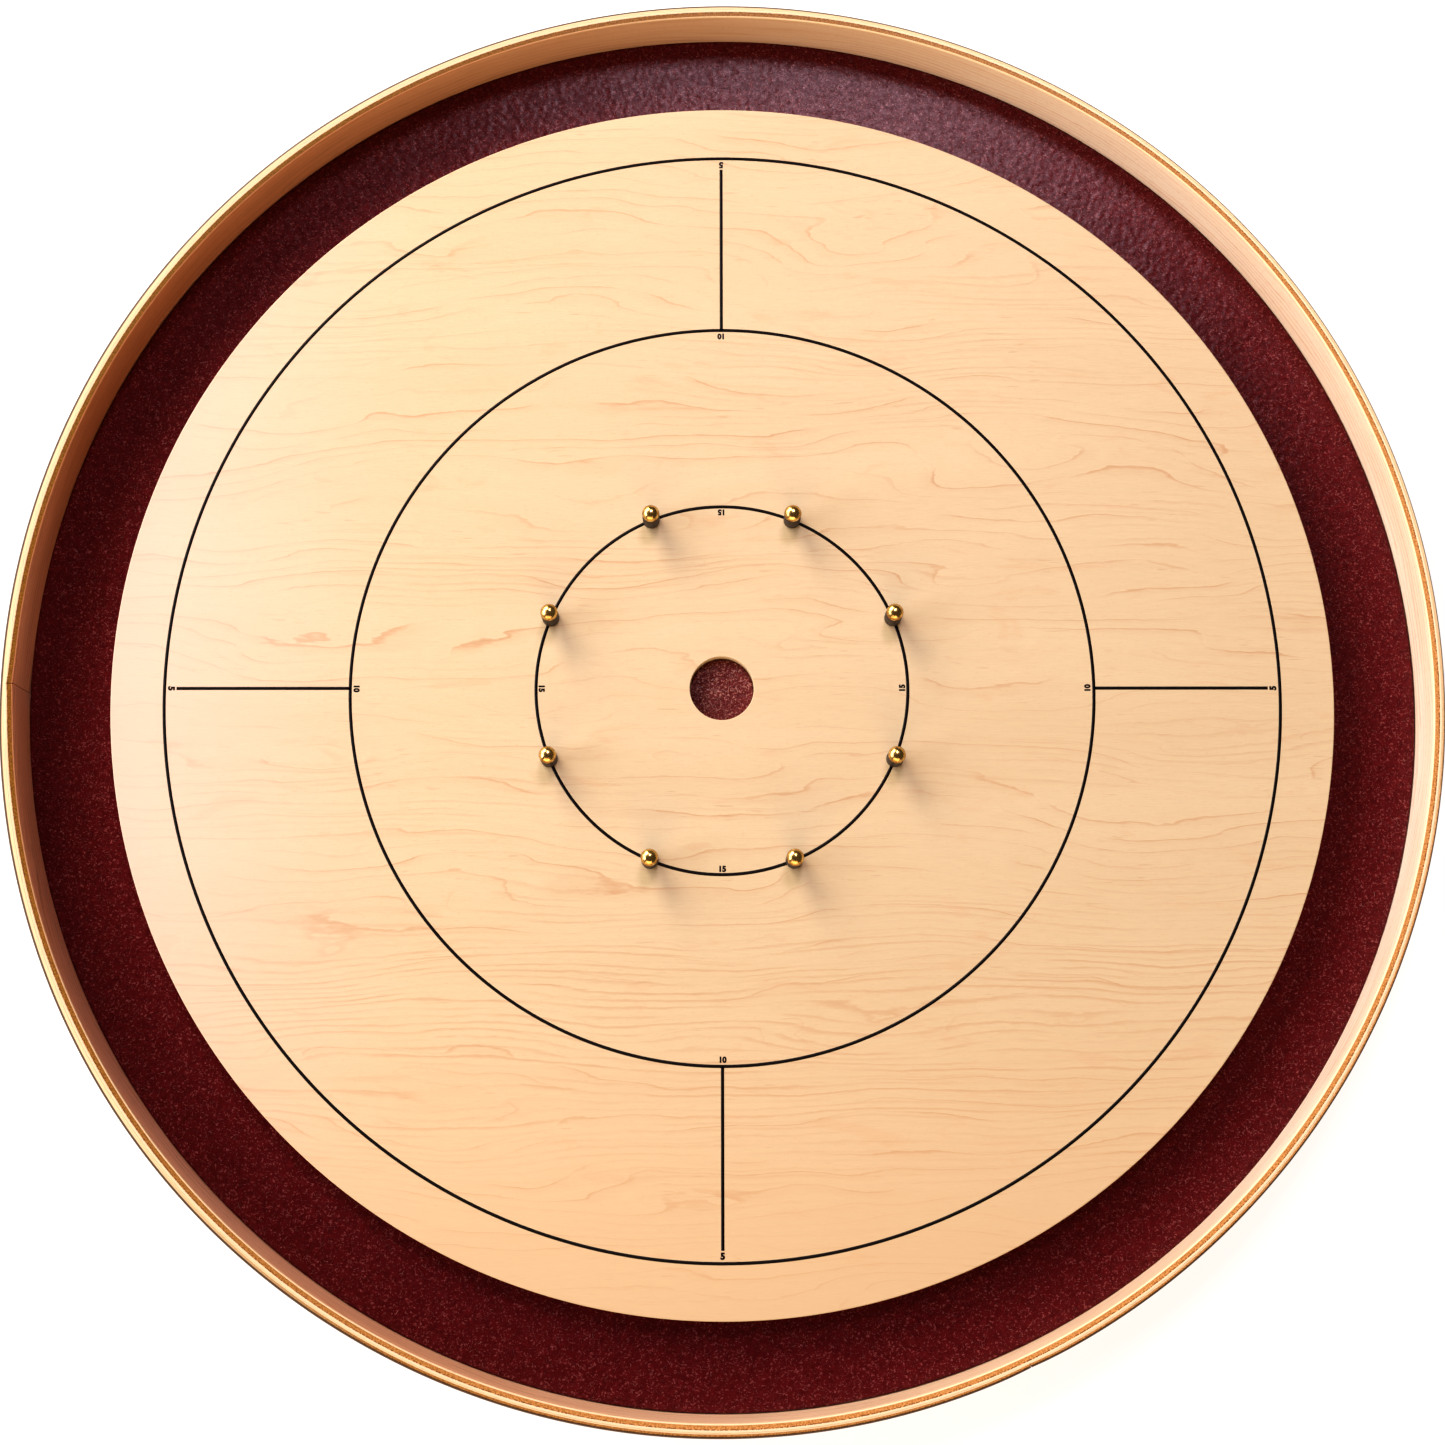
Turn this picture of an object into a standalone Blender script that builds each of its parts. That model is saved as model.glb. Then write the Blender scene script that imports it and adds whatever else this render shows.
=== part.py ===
"""Crokinole board: a round table game with a sunken ditch, eight pegs and a bent plywood rim.

+Z is up, the origin is on the table under the middle of the board, and +Y is one player's far side.
The hinges of the rubber bumpers stand on the axes of their pegs.
"""

import bmesh
import bpy
import math
from mathutils import Matrix

# Driving dimensions, in metres.
FIT_GAP = 0.0003  # glue line, or the play between two pieces that touch
FOOT_HEIGHT = 0.006
BASE_THICKNESS = 0.0127
DECK_THICKNESS = 0.0159
DECK_RADIUS = 0.3342
RIM_INNER_RADIUS = 0.382
RIM_ABOVE_DECK = 0.019
INNER_BAND_THICKNESS = 0.0045
OUTER_BAND_THICKNESS = 0.0029
RIM_EDGE_ROUND = 0.0008
INNER_SEAM_ANGLE = 179.0  # degrees, where the inner band's two ends meet
OUTER_SEAM_ANGLE = -66.0
SEAM_WIDTH = 0.0004
CUTTER_OVERSHOOT = 0.002  # how far a cutter stands out of the wood
FELT_THICKNESS = 0.0017
POCKET_RADIUS = 0.0175  # the centre hole, 1 3/8 in across
POCKET_DEPTH = 0.0083
POCKET_FELT_THICKNESS = 0.0013

PEG_COUNT = 8
PEG_CIRCLE_RADIUS = 0.1016  # 4 in, on the smallest scoring circle
PEG_FIRST_ANGLE = 22.5
POST_RADIUS = 0.0024
POST_DEPTH = 0.0115  # how far the shank goes into the deck
HEAD_RADIUS = 0.0047
HEAD_EQUATOR = 0.0177  # height of the head's widest circle over the deck
HEAD_DOME = 0.0040
HEAD_UNDERCUT = 0.0007  # the head's lower side, under its widest circle
POST_CHAMFER = 0.0006
BUMPER_RADIUS = 0.00465
BUMPER_BORE = 0.00248
BUMPER_LENGTH = 0.0165
SMALL_CHAMFER = 0.0004  # edges of the heads, bumpers, screw heads and feet

DECK_SCREW_COUNT = 6
DECK_SCREW_CIRCLE = 0.235
DECK_SCREW_LENGTH = 0.0215
SCREW_RADIUS = 0.0019
SCREW_HEAD_RADIUS = 0.0041
SCREW_HEAD_HEIGHT = 0.0026
SCREW_TIP_LENGTH = 0.003
PILOT_SHORTFALL = 0.0015  # how much of a foot screw cuts its own way
PILOT_RADIUS = 0.0022

FOOT_COUNT = 4
FOOT_CIRCLE = 0.345
FOOT_FIRST_ANGLE = 45.0
FOOT_RADIUS = 0.011
FOOT_TAPER = 0.0012
FOOT_RECESS_RADIUS = 0.0056
FOOT_RECESS_DEPTH = 0.0034
FOOT_HOLE_RADIUS = 0.0022
FOOT_SCREW_LENGTH = 0.0115
PAN_HEAD_RADIUS = 0.0042
PAN_HEAD_HEIGHT = 0.0020
PAN_HEAD_FLAT_RADIUS = 0.0030
FOOT_FLANGE_HEIGHT = 0.0015

RIM_STEPS = 96
PEG_STEPS = 24
SCREW_STEPS = 12

# Heights worked out from those.
BASE_BOTTOM = FOOT_HEIGHT
BASE_TOP = BASE_BOTTOM + BASE_THICKNESS
DECK_BOTTOM = BASE_TOP + FIT_GAP
DECK_TOP = DECK_BOTTOM + DECK_THICKNESS
RIM_TOP = DECK_TOP + RIM_ABOVE_DECK

for old in list(bpy.data.objects):
    bpy.data.objects.remove(old, do_unlink=True)

board_collection = bpy.data.collections.new("crokinole_board")
cutter_collection = bpy.data.collections.new("cutters")
for collection in (board_collection, cutter_collection):
    bpy.context.scene.collection.children.link(collection)


def material(name, colour, roughness, metallic=0.0):
    """A plain Principled material."""
    made = bpy.data.materials.new(name)
    made.use_nodes = True
    shader = made.node_tree.nodes["Principled BSDF"]
    shader.inputs["Base Color"].default_value = (*colour, 1.0)
    shader.inputs["Roughness"].default_value = roughness
    shader.inputs["Metallic"].default_value = metallic
    made.diffuse_color = (*colour, 1.0)
    return made


MAPLE = material("maple_veneer", (0.94, 0.72, 0.42), 0.35)
PLYWOOD = material("birch_plywood", (0.80, 0.62, 0.40), 0.55)
BENT_PLY = material("bent_plywood", (0.78, 0.48, 0.20), 0.4)
FELT = material("burgundy_felt", (0.11, 0.012, 0.018), 0.95)
BRASS = material("polished_brass", (0.80, 0.53, 0.18), 0.15, 1.0)
SLEEVE_RUBBER = material("bumper_rubber", (0.035, 0.024, 0.022), 0.6)
FOOT_RUBBER = material("foot_rubber", (0.02, 0.02, 0.02), 0.7)
ZINC = material("zinc_plated_steel", (0.70, 0.70, 0.68), 0.3, 1.0)


def mesh_object(name, mesh, collection, finish=None):
    """A new object on a mesh, in its collection."""
    made = bpy.data.objects.new(name, mesh)
    collection.objects.link(made)
    if finish is not None:
        mesh.materials.append(finish)
    return made


def turned(name, profile, steps, finish, collection=None):
    """A shape of revolution about Z. The profile runs down the outer side, from top to bottom."""
    mesh = bpy.data.meshes.new(name)
    closed = profile[0][0] > 0 or profile[-1][0] > 0
    edges = [(i, i + 1) for i in range(len(profile) - 1)]
    if closed:
        edges.append((len(profile) - 1, 0))
    mesh.from_pydata([(radius, 0.0, height) for radius, height in profile], edges, [])
    made = mesh_object(name, mesh, collection or board_collection, finish)
    screw = made.modifiers.new("turn", "SCREW")
    screw.steps = steps
    screw.render_steps = steps
    screw.use_merge_vertices = True
    screw.merge_threshold = 0.00001
    screw.use_smooth_shade = True
    return made


def cylinder_cutter(name, radius, bottom, top, steps, place=(0.0, 0.0)):
    """A hidden cylinder that Booleans cut with."""
    mesh = bpy.data.meshes.new(name)
    shape = bmesh.new()
    bmesh.ops.create_cone(
        shape,
        cap_ends=True,
        segments=steps,
        radius1=radius,
        radius2=radius,
        depth=top - bottom,
        matrix=Matrix.Translation((0.0, 0.0, (top + bottom) / 2)),
    )
    shape.to_mesh(mesh)
    shape.free()
    made = mesh_object(name, mesh, cutter_collection)
    made.location = (*place, 0.0)
    hide_cutter(made)
    return made


def hide_cutter(cutter):
    cutter.hide_render = True
    cutter.display_type = "WIRE"


def cut(target, cutter):
    """Takes the cutter's shape out of the target."""
    boolean = target.modifiers.new("cut_" + cutter.name, "BOOLEAN")
    boolean.operation = "DIFFERENCE"
    boolean.solver = "EXACT"
    boolean.object = cutter


def on_circle(radius, first_angle, count):
    """The places of count like pieces, evenly round a circle."""
    angles = [math.radians(first_angle + 360.0 * i / count) for i in range(count)]
    return [(radius * math.cos(angle), radius * math.sin(angle)) for angle in angles]


peg_places = on_circle(PEG_CIRCLE_RADIUS, PEG_FIRST_ANGLE, PEG_COUNT)
deck_screw_places = on_circle(DECK_SCREW_CIRCLE, 0.0, DECK_SCREW_COUNT)
foot_places = on_circle(FOOT_CIRCLE, FOOT_FIRST_ANGLE, FOOT_COUNT)


def make_base_panel():
    """Round plywood panel that carries everything, drilled for the screws from below."""
    radius = RIM_INNER_RADIUS - FIT_GAP
    profile = [(0.0, BASE_TOP), (radius, BASE_TOP), (radius, BASE_BOTTOM), (0.0, BASE_BOTTOM)]
    base = turned("base_panel", profile, RIM_STEPS, PLYWOOD)
    for i, place in enumerate(deck_screw_places, 1):
        sink_depth = SCREW_HEAD_HEIGHT + 2 * FIT_GAP
        sink_radius = SCREW_HEAD_RADIUS + 3 * FIT_GAP
        hole = turned(
            f"countersink_{i}",
            [
                (0.0, BASE_TOP + CUTTER_OVERSHOOT),
                (PILOT_RADIUS + FIT_GAP, BASE_TOP + CUTTER_OVERSHOOT),
                (PILOT_RADIUS + FIT_GAP, BASE_BOTTOM + sink_depth),
                (sink_radius, BASE_BOTTOM),
                (sink_radius, BASE_BOTTOM - CUTTER_OVERSHOOT),
                (0.0, BASE_BOTTOM - CUTTER_OVERSHOOT),
            ],
            SCREW_STEPS,
            None,
            cutter_collection,
        )
        hole.location = (*place, 0.0)
        hide_cutter(hole)
        cut(base, hole)
    for i, place in enumerate(foot_places, 1):
        hole = cylinder_cutter(
            f"foot_pilot_{i}",
            PILOT_RADIUS,
            BASE_BOTTOM - CUTTER_OVERSHOOT,
            BASE_BOTTOM + FOOT_SCREW_LENGTH - PILOT_SHORTFALL,
            SCREW_STEPS,
            place,
        )
        cut(base, hole)


def make_playing_surface():
    """Veneered plywood disc with a flat-bottomed centre hole, peg holes, and pilot holes from below."""
    profile = [
        (POCKET_RADIUS, DECK_TOP),
        (DECK_RADIUS, DECK_TOP),
        (DECK_RADIUS, DECK_BOTTOM),
        (0.0, DECK_BOTTOM),
        (0.0, DECK_TOP - POCKET_DEPTH),
        (POCKET_RADIUS, DECK_TOP - POCKET_DEPTH),
    ]
    deck = turned("playing_surface", profile, RIM_STEPS, MAPLE)
    for i, place in enumerate(peg_places, 1):
        hole = cylinder_cutter(
            f"peg_hole_{i}",
            POST_RADIUS + FIT_GAP,
            DECK_TOP - POST_DEPTH - FIT_GAP,
            DECK_TOP + CUTTER_OVERSHOOT,
            PEG_STEPS,
            place,
        )
        cut(deck, hole)
    for i, place in enumerate(deck_screw_places, 1):
        hole = cylinder_cutter(
            f"deck_pilot_{i}",
            PILOT_RADIUS,
            DECK_BOTTOM - CUTTER_OVERSHOOT,
            DECK_BOTTOM + DECK_SCREW_LENGTH - BASE_THICKNESS + FIT_GAP,
            SCREW_STEPS,
            place,
        )
        cut(deck, hole)


def make_band(name, inner_radius, thickness, seam_angle):
    """A thin plywood strip bent into a hoop round the base, with a butt joint where its ends meet."""
    outer_radius = inner_radius + thickness
    profile = [
        (inner_radius + RIM_EDGE_ROUND, RIM_TOP),
        (outer_radius - RIM_EDGE_ROUND, RIM_TOP),
        (outer_radius, RIM_TOP - RIM_EDGE_ROUND),
        (outer_radius, BASE_BOTTOM),
        (inner_radius, BASE_BOTTOM),
        (inner_radius, RIM_TOP - RIM_EDGE_ROUND),
    ]
    band = turned(name, profile, RIM_STEPS, BENT_PLY)
    length = thickness + 2 * CUTTER_OVERSHOOT
    height = RIM_TOP - BASE_BOTTOM + 2 * CUTTER_OVERSHOOT
    middle = Matrix.Translation((inner_radius + thickness / 2, 0.0, (RIM_TOP + BASE_BOTTOM) / 2))
    size = Matrix.Diagonal((length, SEAM_WIDTH, height, 1.0))
    mesh = bpy.data.meshes.new(name + "_seam")
    shape = bmesh.new()
    bmesh.ops.create_cube(shape, size=1.0, matrix=middle @ size)
    shape.to_mesh(mesh)
    shape.free()
    seam = mesh_object(name + "_seam", mesh, cutter_collection)
    seam.rotation_euler = (0.0, 0.0, math.radians(seam_angle))
    hide_cutter(seam)
    cut(band, seam)


def make_felts():
    """Burgundy felt: a ring glued in the ditch, and a small round of it in the centre hole."""
    inner, outer = DECK_RADIUS + FIT_GAP, RIM_INNER_RADIUS - FIT_GAP
    bottom = BASE_TOP + FIT_GAP
    top = bottom + FELT_THICKNESS
    turned("ditch_felt", [(inner, top), (outer, top), (outer, bottom), (inner, bottom)], RIM_STEPS, FELT)
    floor = DECK_TOP - POCKET_DEPTH + FIT_GAP
    radius = POCKET_RADIUS - FIT_GAP
    top = floor + POCKET_FELT_THICKNESS
    turned("centre_hole_felt", [(0.0, top), (radius, top), (radius, floor), (0.0, floor)], RIM_STEPS, FELT)


def make_pegs():
    """Eight domed brass posts pressed into the deck, each with a rubber bumper that turns on it."""
    head_bottom = HEAD_EQUATOR - HEAD_UNDERCUT
    dome = [
        (HEAD_RADIUS * math.cos(math.radians(a)), HEAD_EQUATOR + HEAD_DOME * math.sin(math.radians(a)))
        for a in (90, 66, 44, 22, 0)
    ]
    dome[0] = (0.0, HEAD_EQUATOR + HEAD_DOME)
    post_profile = dome + [
        (HEAD_RADIUS - SMALL_CHAMFER, head_bottom),
        (POST_RADIUS, head_bottom),
        (POST_RADIUS, POST_CHAMFER - POST_DEPTH),
        (POST_RADIUS - POST_CHAMFER, -POST_DEPTH),
        (0.0, -POST_DEPTH),
    ]
    bumper_top = head_bottom - FIT_GAP
    bumper_bottom = bumper_top - BUMPER_LENGTH
    bumper_profile = [
        (BUMPER_BORE, bumper_top),
        (BUMPER_RADIUS - SMALL_CHAMFER, bumper_top),
        (BUMPER_RADIUS, bumper_top - SMALL_CHAMFER),
        (BUMPER_RADIUS, bumper_bottom + SMALL_CHAMFER),
        (BUMPER_RADIUS - SMALL_CHAMFER, bumper_bottom),
        (BUMPER_BORE, bumper_bottom),
    ]
    for i, place in enumerate(peg_places, 1):
        axis = bpy.data.objects.new(f"peg_axis_{i}", None)
        board_collection.objects.link(axis)
        axis.location = (*place, DECK_TOP)
        post = turned(f"peg_post_{i}", post_profile, PEG_STEPS, BRASS)
        bumper = turned(f"peg_bumper_{i}", bumper_profile, PEG_STEPS, SLEEVE_RUBBER)
        post.parent = axis
        bumper.parent = axis


def make_deck_screws():
    """Countersunk wood screws that hold the playing surface to the base from below."""
    head_face = BASE_BOTTOM + FIT_GAP
    tip = head_face + DECK_SCREW_LENGTH
    profile = [
        (0.0, tip),
        (SCREW_RADIUS, tip - SCREW_TIP_LENGTH),
        (SCREW_RADIUS, head_face + SCREW_HEAD_HEIGHT),
        (SCREW_HEAD_RADIUS, head_face + SMALL_CHAMFER),
        (SCREW_HEAD_RADIUS, head_face),
        (0.0, head_face),
    ]
    for i, place in enumerate(deck_screw_places, 1):
        screw = turned(f"deck_screw_{i}", profile, SCREW_STEPS, ZINC)
        screw.location = (*place, 0.0)


def make_feet():
    """Four rubber feet, each held by a pan-head screw sunk in its recess."""
    top = FOOT_HEIGHT - FIT_GAP
    foot_profile = [
        (FOOT_HOLE_RADIUS, top),
        (FOOT_RADIUS, top),
        (FOOT_RADIUS, top - FOOT_FLANGE_HEIGHT),
        (FOOT_RADIUS - FOOT_TAPER, SMALL_CHAMFER),
        (FOOT_RADIUS - FOOT_TAPER - SMALL_CHAMFER, 0.0),
        (FOOT_RECESS_RADIUS, 0.0),
        (FOOT_RECESS_RADIUS, FOOT_RECESS_DEPTH),
        (FOOT_HOLE_RADIUS, FOOT_RECESS_DEPTH),
    ]
    seat = FOOT_RECESS_DEPTH - FIT_GAP
    tip = seat - PAN_HEAD_HEIGHT + FOOT_SCREW_LENGTH
    screw_profile = [
        (0.0, tip),
        (SCREW_RADIUS, tip - SCREW_TIP_LENGTH),
        (SCREW_RADIUS, seat),
        (PAN_HEAD_RADIUS, seat),
        (PAN_HEAD_RADIUS, seat - PAN_HEAD_HEIGHT / 2),
        (PAN_HEAD_FLAT_RADIUS, seat - PAN_HEAD_HEIGHT),
        (0.0, seat - PAN_HEAD_HEIGHT),
    ]
    for i, place in enumerate(foot_places, 1):
        foot = turned(f"foot_{i}", foot_profile, PEG_STEPS, FOOT_RUBBER)
        screw = turned(f"foot_screw_{i}", screw_profile, SCREW_STEPS, ZINC)
        foot.location = (*place, 0.0)
        screw.location = (*place, 0.0)


make_base_panel()
make_playing_surface()
make_felts()
make_band("rim_inner_band", RIM_INNER_RADIUS, INNER_BAND_THICKNESS, INNER_SEAM_ANGLE)
make_band(
    "rim_outer_band",
    RIM_INNER_RADIUS + INNER_BAND_THICKNESS + FIT_GAP,
    OUTER_BAND_THICKNESS,
    OUTER_SEAM_ANGLE,
)
make_pegs()
make_deck_screws()
make_feet()
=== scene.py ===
"""Crokinole board, built up in the order in which the real board is put together."""

import math

import bpy
from mathutils import Matrix, Vector


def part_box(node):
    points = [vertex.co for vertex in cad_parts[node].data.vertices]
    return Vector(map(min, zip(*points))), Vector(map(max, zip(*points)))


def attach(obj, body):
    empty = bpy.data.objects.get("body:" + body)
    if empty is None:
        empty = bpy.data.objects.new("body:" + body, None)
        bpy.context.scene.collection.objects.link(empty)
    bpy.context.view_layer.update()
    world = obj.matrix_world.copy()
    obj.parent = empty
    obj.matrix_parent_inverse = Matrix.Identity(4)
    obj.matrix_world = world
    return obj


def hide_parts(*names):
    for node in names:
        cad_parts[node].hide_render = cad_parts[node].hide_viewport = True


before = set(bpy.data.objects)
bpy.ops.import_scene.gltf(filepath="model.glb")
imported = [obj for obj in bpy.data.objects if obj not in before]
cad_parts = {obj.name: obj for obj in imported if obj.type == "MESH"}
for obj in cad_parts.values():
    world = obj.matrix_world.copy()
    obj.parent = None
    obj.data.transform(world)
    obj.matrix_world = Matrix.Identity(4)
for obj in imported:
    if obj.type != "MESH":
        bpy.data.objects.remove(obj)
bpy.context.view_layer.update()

# ---------------------------------------------------------------------------------------------
# Base panel. A round of half-inch birch plywood that carries everything. It is cut with a router,
# sanded, and drilled from below: six countersunk holes for the deck screws, four for the feet.


def mesh_of(name, points, faces):
    """A mesh from its points and its faces."""
    mesh = bpy.data.meshes.new(name)
    mesh.from_pydata(points, [], faces)
    return mesh


def put_in_scene(name, data):
    """An object in the scene that shows this mesh, text, light or camera."""
    placed = bpy.data.objects.new(name, data)
    bpy.context.scene.collection.objects.link(placed)
    return placed


def turned(name, profile, steps):
    """A closed shape of revolution about Z. The profile runs down the outer side, from top to bottom."""
    points, rows = [], []
    for radius, height in profile:
        if radius == 0:
            rows.append([len(points)] * steps)
            points.append((0.0, 0.0, height))
            continue
        rows.append(list(range(len(points), len(points) + steps)))
        for step in range(steps):
            angle = math.tau * step / steps
            points.append((radius * math.cos(angle), radius * math.sin(angle), height))
    pairs = list(zip(rows, rows[1:]))
    if profile[0][0] > 0:
        pairs.append((rows[-1], rows[0]))
    faces = []
    for upper, lower in pairs:
        for step in range(steps):
            after = (step + 1) % steps
            corners = (upper[step], lower[step], lower[after], upper[after])
            faces.append(tuple(dict.fromkeys(corners)))
    return put_in_scene(name, mesh_of(name, points, faces))


def make_plain(piece):
    """Puts the result of the piece's modifiers in its mesh, and takes the modifiers off."""
    depsgraph = bpy.context.evaluated_depsgraph_get()
    result = bpy.data.meshes.new_from_object(
        piece.evaluated_get(depsgraph), preserve_all_data_layers=True, depsgraph=depsgraph
    )
    piece.modifiers.clear()
    before, piece.data = piece.data, result
    bpy.data.meshes.remove(before)


def crisp(piece, angle=32.0):
    """Smooth shading, but hard edges where faces meet more sharply than the angle, and level faces flat."""
    piece.data.shade_smooth()
    piece.data.set_sharp_from_angle(angle=math.radians(angle))
    for face in piece.data.polygons:
        if abs(face.normal.z) > 0.9999:
            face.use_smooth = False


def on_circle(radius, first_angle, count):
    """Angles and places of like pieces set evenly round a circle."""
    angles = [math.radians(first_angle + 360.0 * i / count) for i in range(count)]
    return [(angle, Vector((radius * math.cos(angle), radius * math.sin(angle), 0.0))) for angle in angles]


def drill(piece, cutters):
    """Cuts the holes that the cutters fill, and throws the cutters away."""
    for cutter in cutters:
        boolean = piece.modifiers.new("drill", "BOOLEAN")
        boolean.operation = "DIFFERENCE"
        boolean.solver = "EXACT"
        boolean.object = cutter
    make_plain(piece)
    for cutter in cutters:
        mesh = cutter.data
        bpy.data.objects.remove(cutter)
        bpy.data.meshes.remove(mesh)


def cutter_set(name, profile, steps, places):
    """One mesh of like hole shapes, one at each place."""
    pattern = turned(name, profile, steps)
    mesh = pattern.data
    points, faces = [], []
    for place in places:
        first = len(points)
        points += [tuple(vertex.co + place) for vertex in mesh.vertices]
        faces += [tuple(first + index for index in face.vertices) for face in mesh.polygons]
    pattern.data = mesh_of(name, points, faces)
    bpy.data.meshes.remove(mesh)
    return pattern


def add(tree, kind, inputs=(), **settings):
    """A new node. Inputs maps a socket's name or number to a value or to another node's output."""
    node = tree.nodes.new(kind)
    for key, value in settings.items():
        setattr(node, key, value)
    for key, value in dict(inputs).items():
        if isinstance(value, bpy.types.NodeSocket):
            tree.links.new(value, node.inputs[key])
        else:
            node.inputs[key].default_value = value
    return node


def maths(tree, operation, first, second=0.0, third=0.0, clamp=False):
    """One step of arithmetic on numbers that change over the surface."""
    inputs = {0: first, 1: second, 2: third}
    return add(tree, "ShaderNodeMath", inputs, operation=operation, use_clamp=clamp).outputs[0]


def times(tree, first, second):
    """One value times another."""
    return maths(tree, "MULTIPLY", first, second)


def minus(tree, first, second):
    """One value less another."""
    return maths(tree, "SUBTRACT", first, second)


def swayed(tree, value, field, amount):
    """A value pushed up and down by a noise field, by half the amount each way at most."""
    return maths(tree, "MULTIPLY_ADD", minus(tree, field, 0.5), amount, value)


def ramp(tree, value, low, high, out_low=0.0, out_high=1.0):
    """A smooth step from out_low to out_high as the value goes from low to high."""
    inputs = {"Value": value, "From Min": low, "From Max": high, "To Min": out_low, "To Max": out_high}
    return add(tree, "ShaderNodeMapRange", inputs, interpolation_type="SMOOTHSTEP").outputs[0]


def blend_colours(tree, factor, first, second, how="MIX"):
    """Two colours mixed by a factor."""
    node = add(tree, "ShaderNodeMix", data_type="RGBA", blend_type=how)
    for socket, value in ((node.inputs[0], factor), (node.inputs[6], first), (node.inputs[7], second)):
        if isinstance(value, bpy.types.NodeSocket):
            tree.links.new(value, socket)
        elif isinstance(value, tuple):
            socket.default_value = (*value, 1.0)
        else:
            socket.default_value = value
    return node.outputs[2]


def stained(tree, colour, mask, share, stain):
    """A colour with another laid over it where the mask is, at the given share of its strength."""
    return blend_colours(tree, times(tree, mask, share), colour, stain)


def noise(tree, where, stretch, detail=2.0, roughness=0.5, distortion=0.0, shift=0.0):
    """Noise whose patches measure stretch = (x, y, z) metres, 0 to 1, mostly near 0.5."""
    scaled = add(
        tree,
        "ShaderNodeVectorMath",
        {0: where, 1: tuple(1.0 / size for size in stretch), 2: (shift, -shift, 0.37 * shift)},
        operation="MULTIPLY_ADD",
    ).outputs[0]
    inputs = {"Vector": scaled, "Scale": 1.0, "Detail": detail}
    inputs |= {"Roughness": roughness, "Distortion": distortion}
    return add(tree, "ShaderNodeTexNoise", inputs, noise_dimensions="3D").outputs[0]


def node_group(name, kind, inputs, outputs):
    """An empty node group with its named inputs and outputs, and the two nodes at its ends."""
    tree = bpy.data.node_groups.new(name, kind)
    for label, socket_type, value in inputs:
        socket = tree.interface.new_socket(label, in_out="INPUT", socket_type=socket_type)
        if value is not None:
            socket.default_value = value
    for label, socket_type in outputs:
        tree.interface.new_socket(label, in_out="OUTPUT", socket_type=socket_type)
    return tree, tree.nodes.new("NodeGroupInput"), tree.nodes.new("NodeGroupOutput")


FLOAT, VECTOR = "NodeSocketFloat", "NodeSocketVector"
ROW_SPACING = 0.0041  # between the fine growth lines that run in close rows


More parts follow.
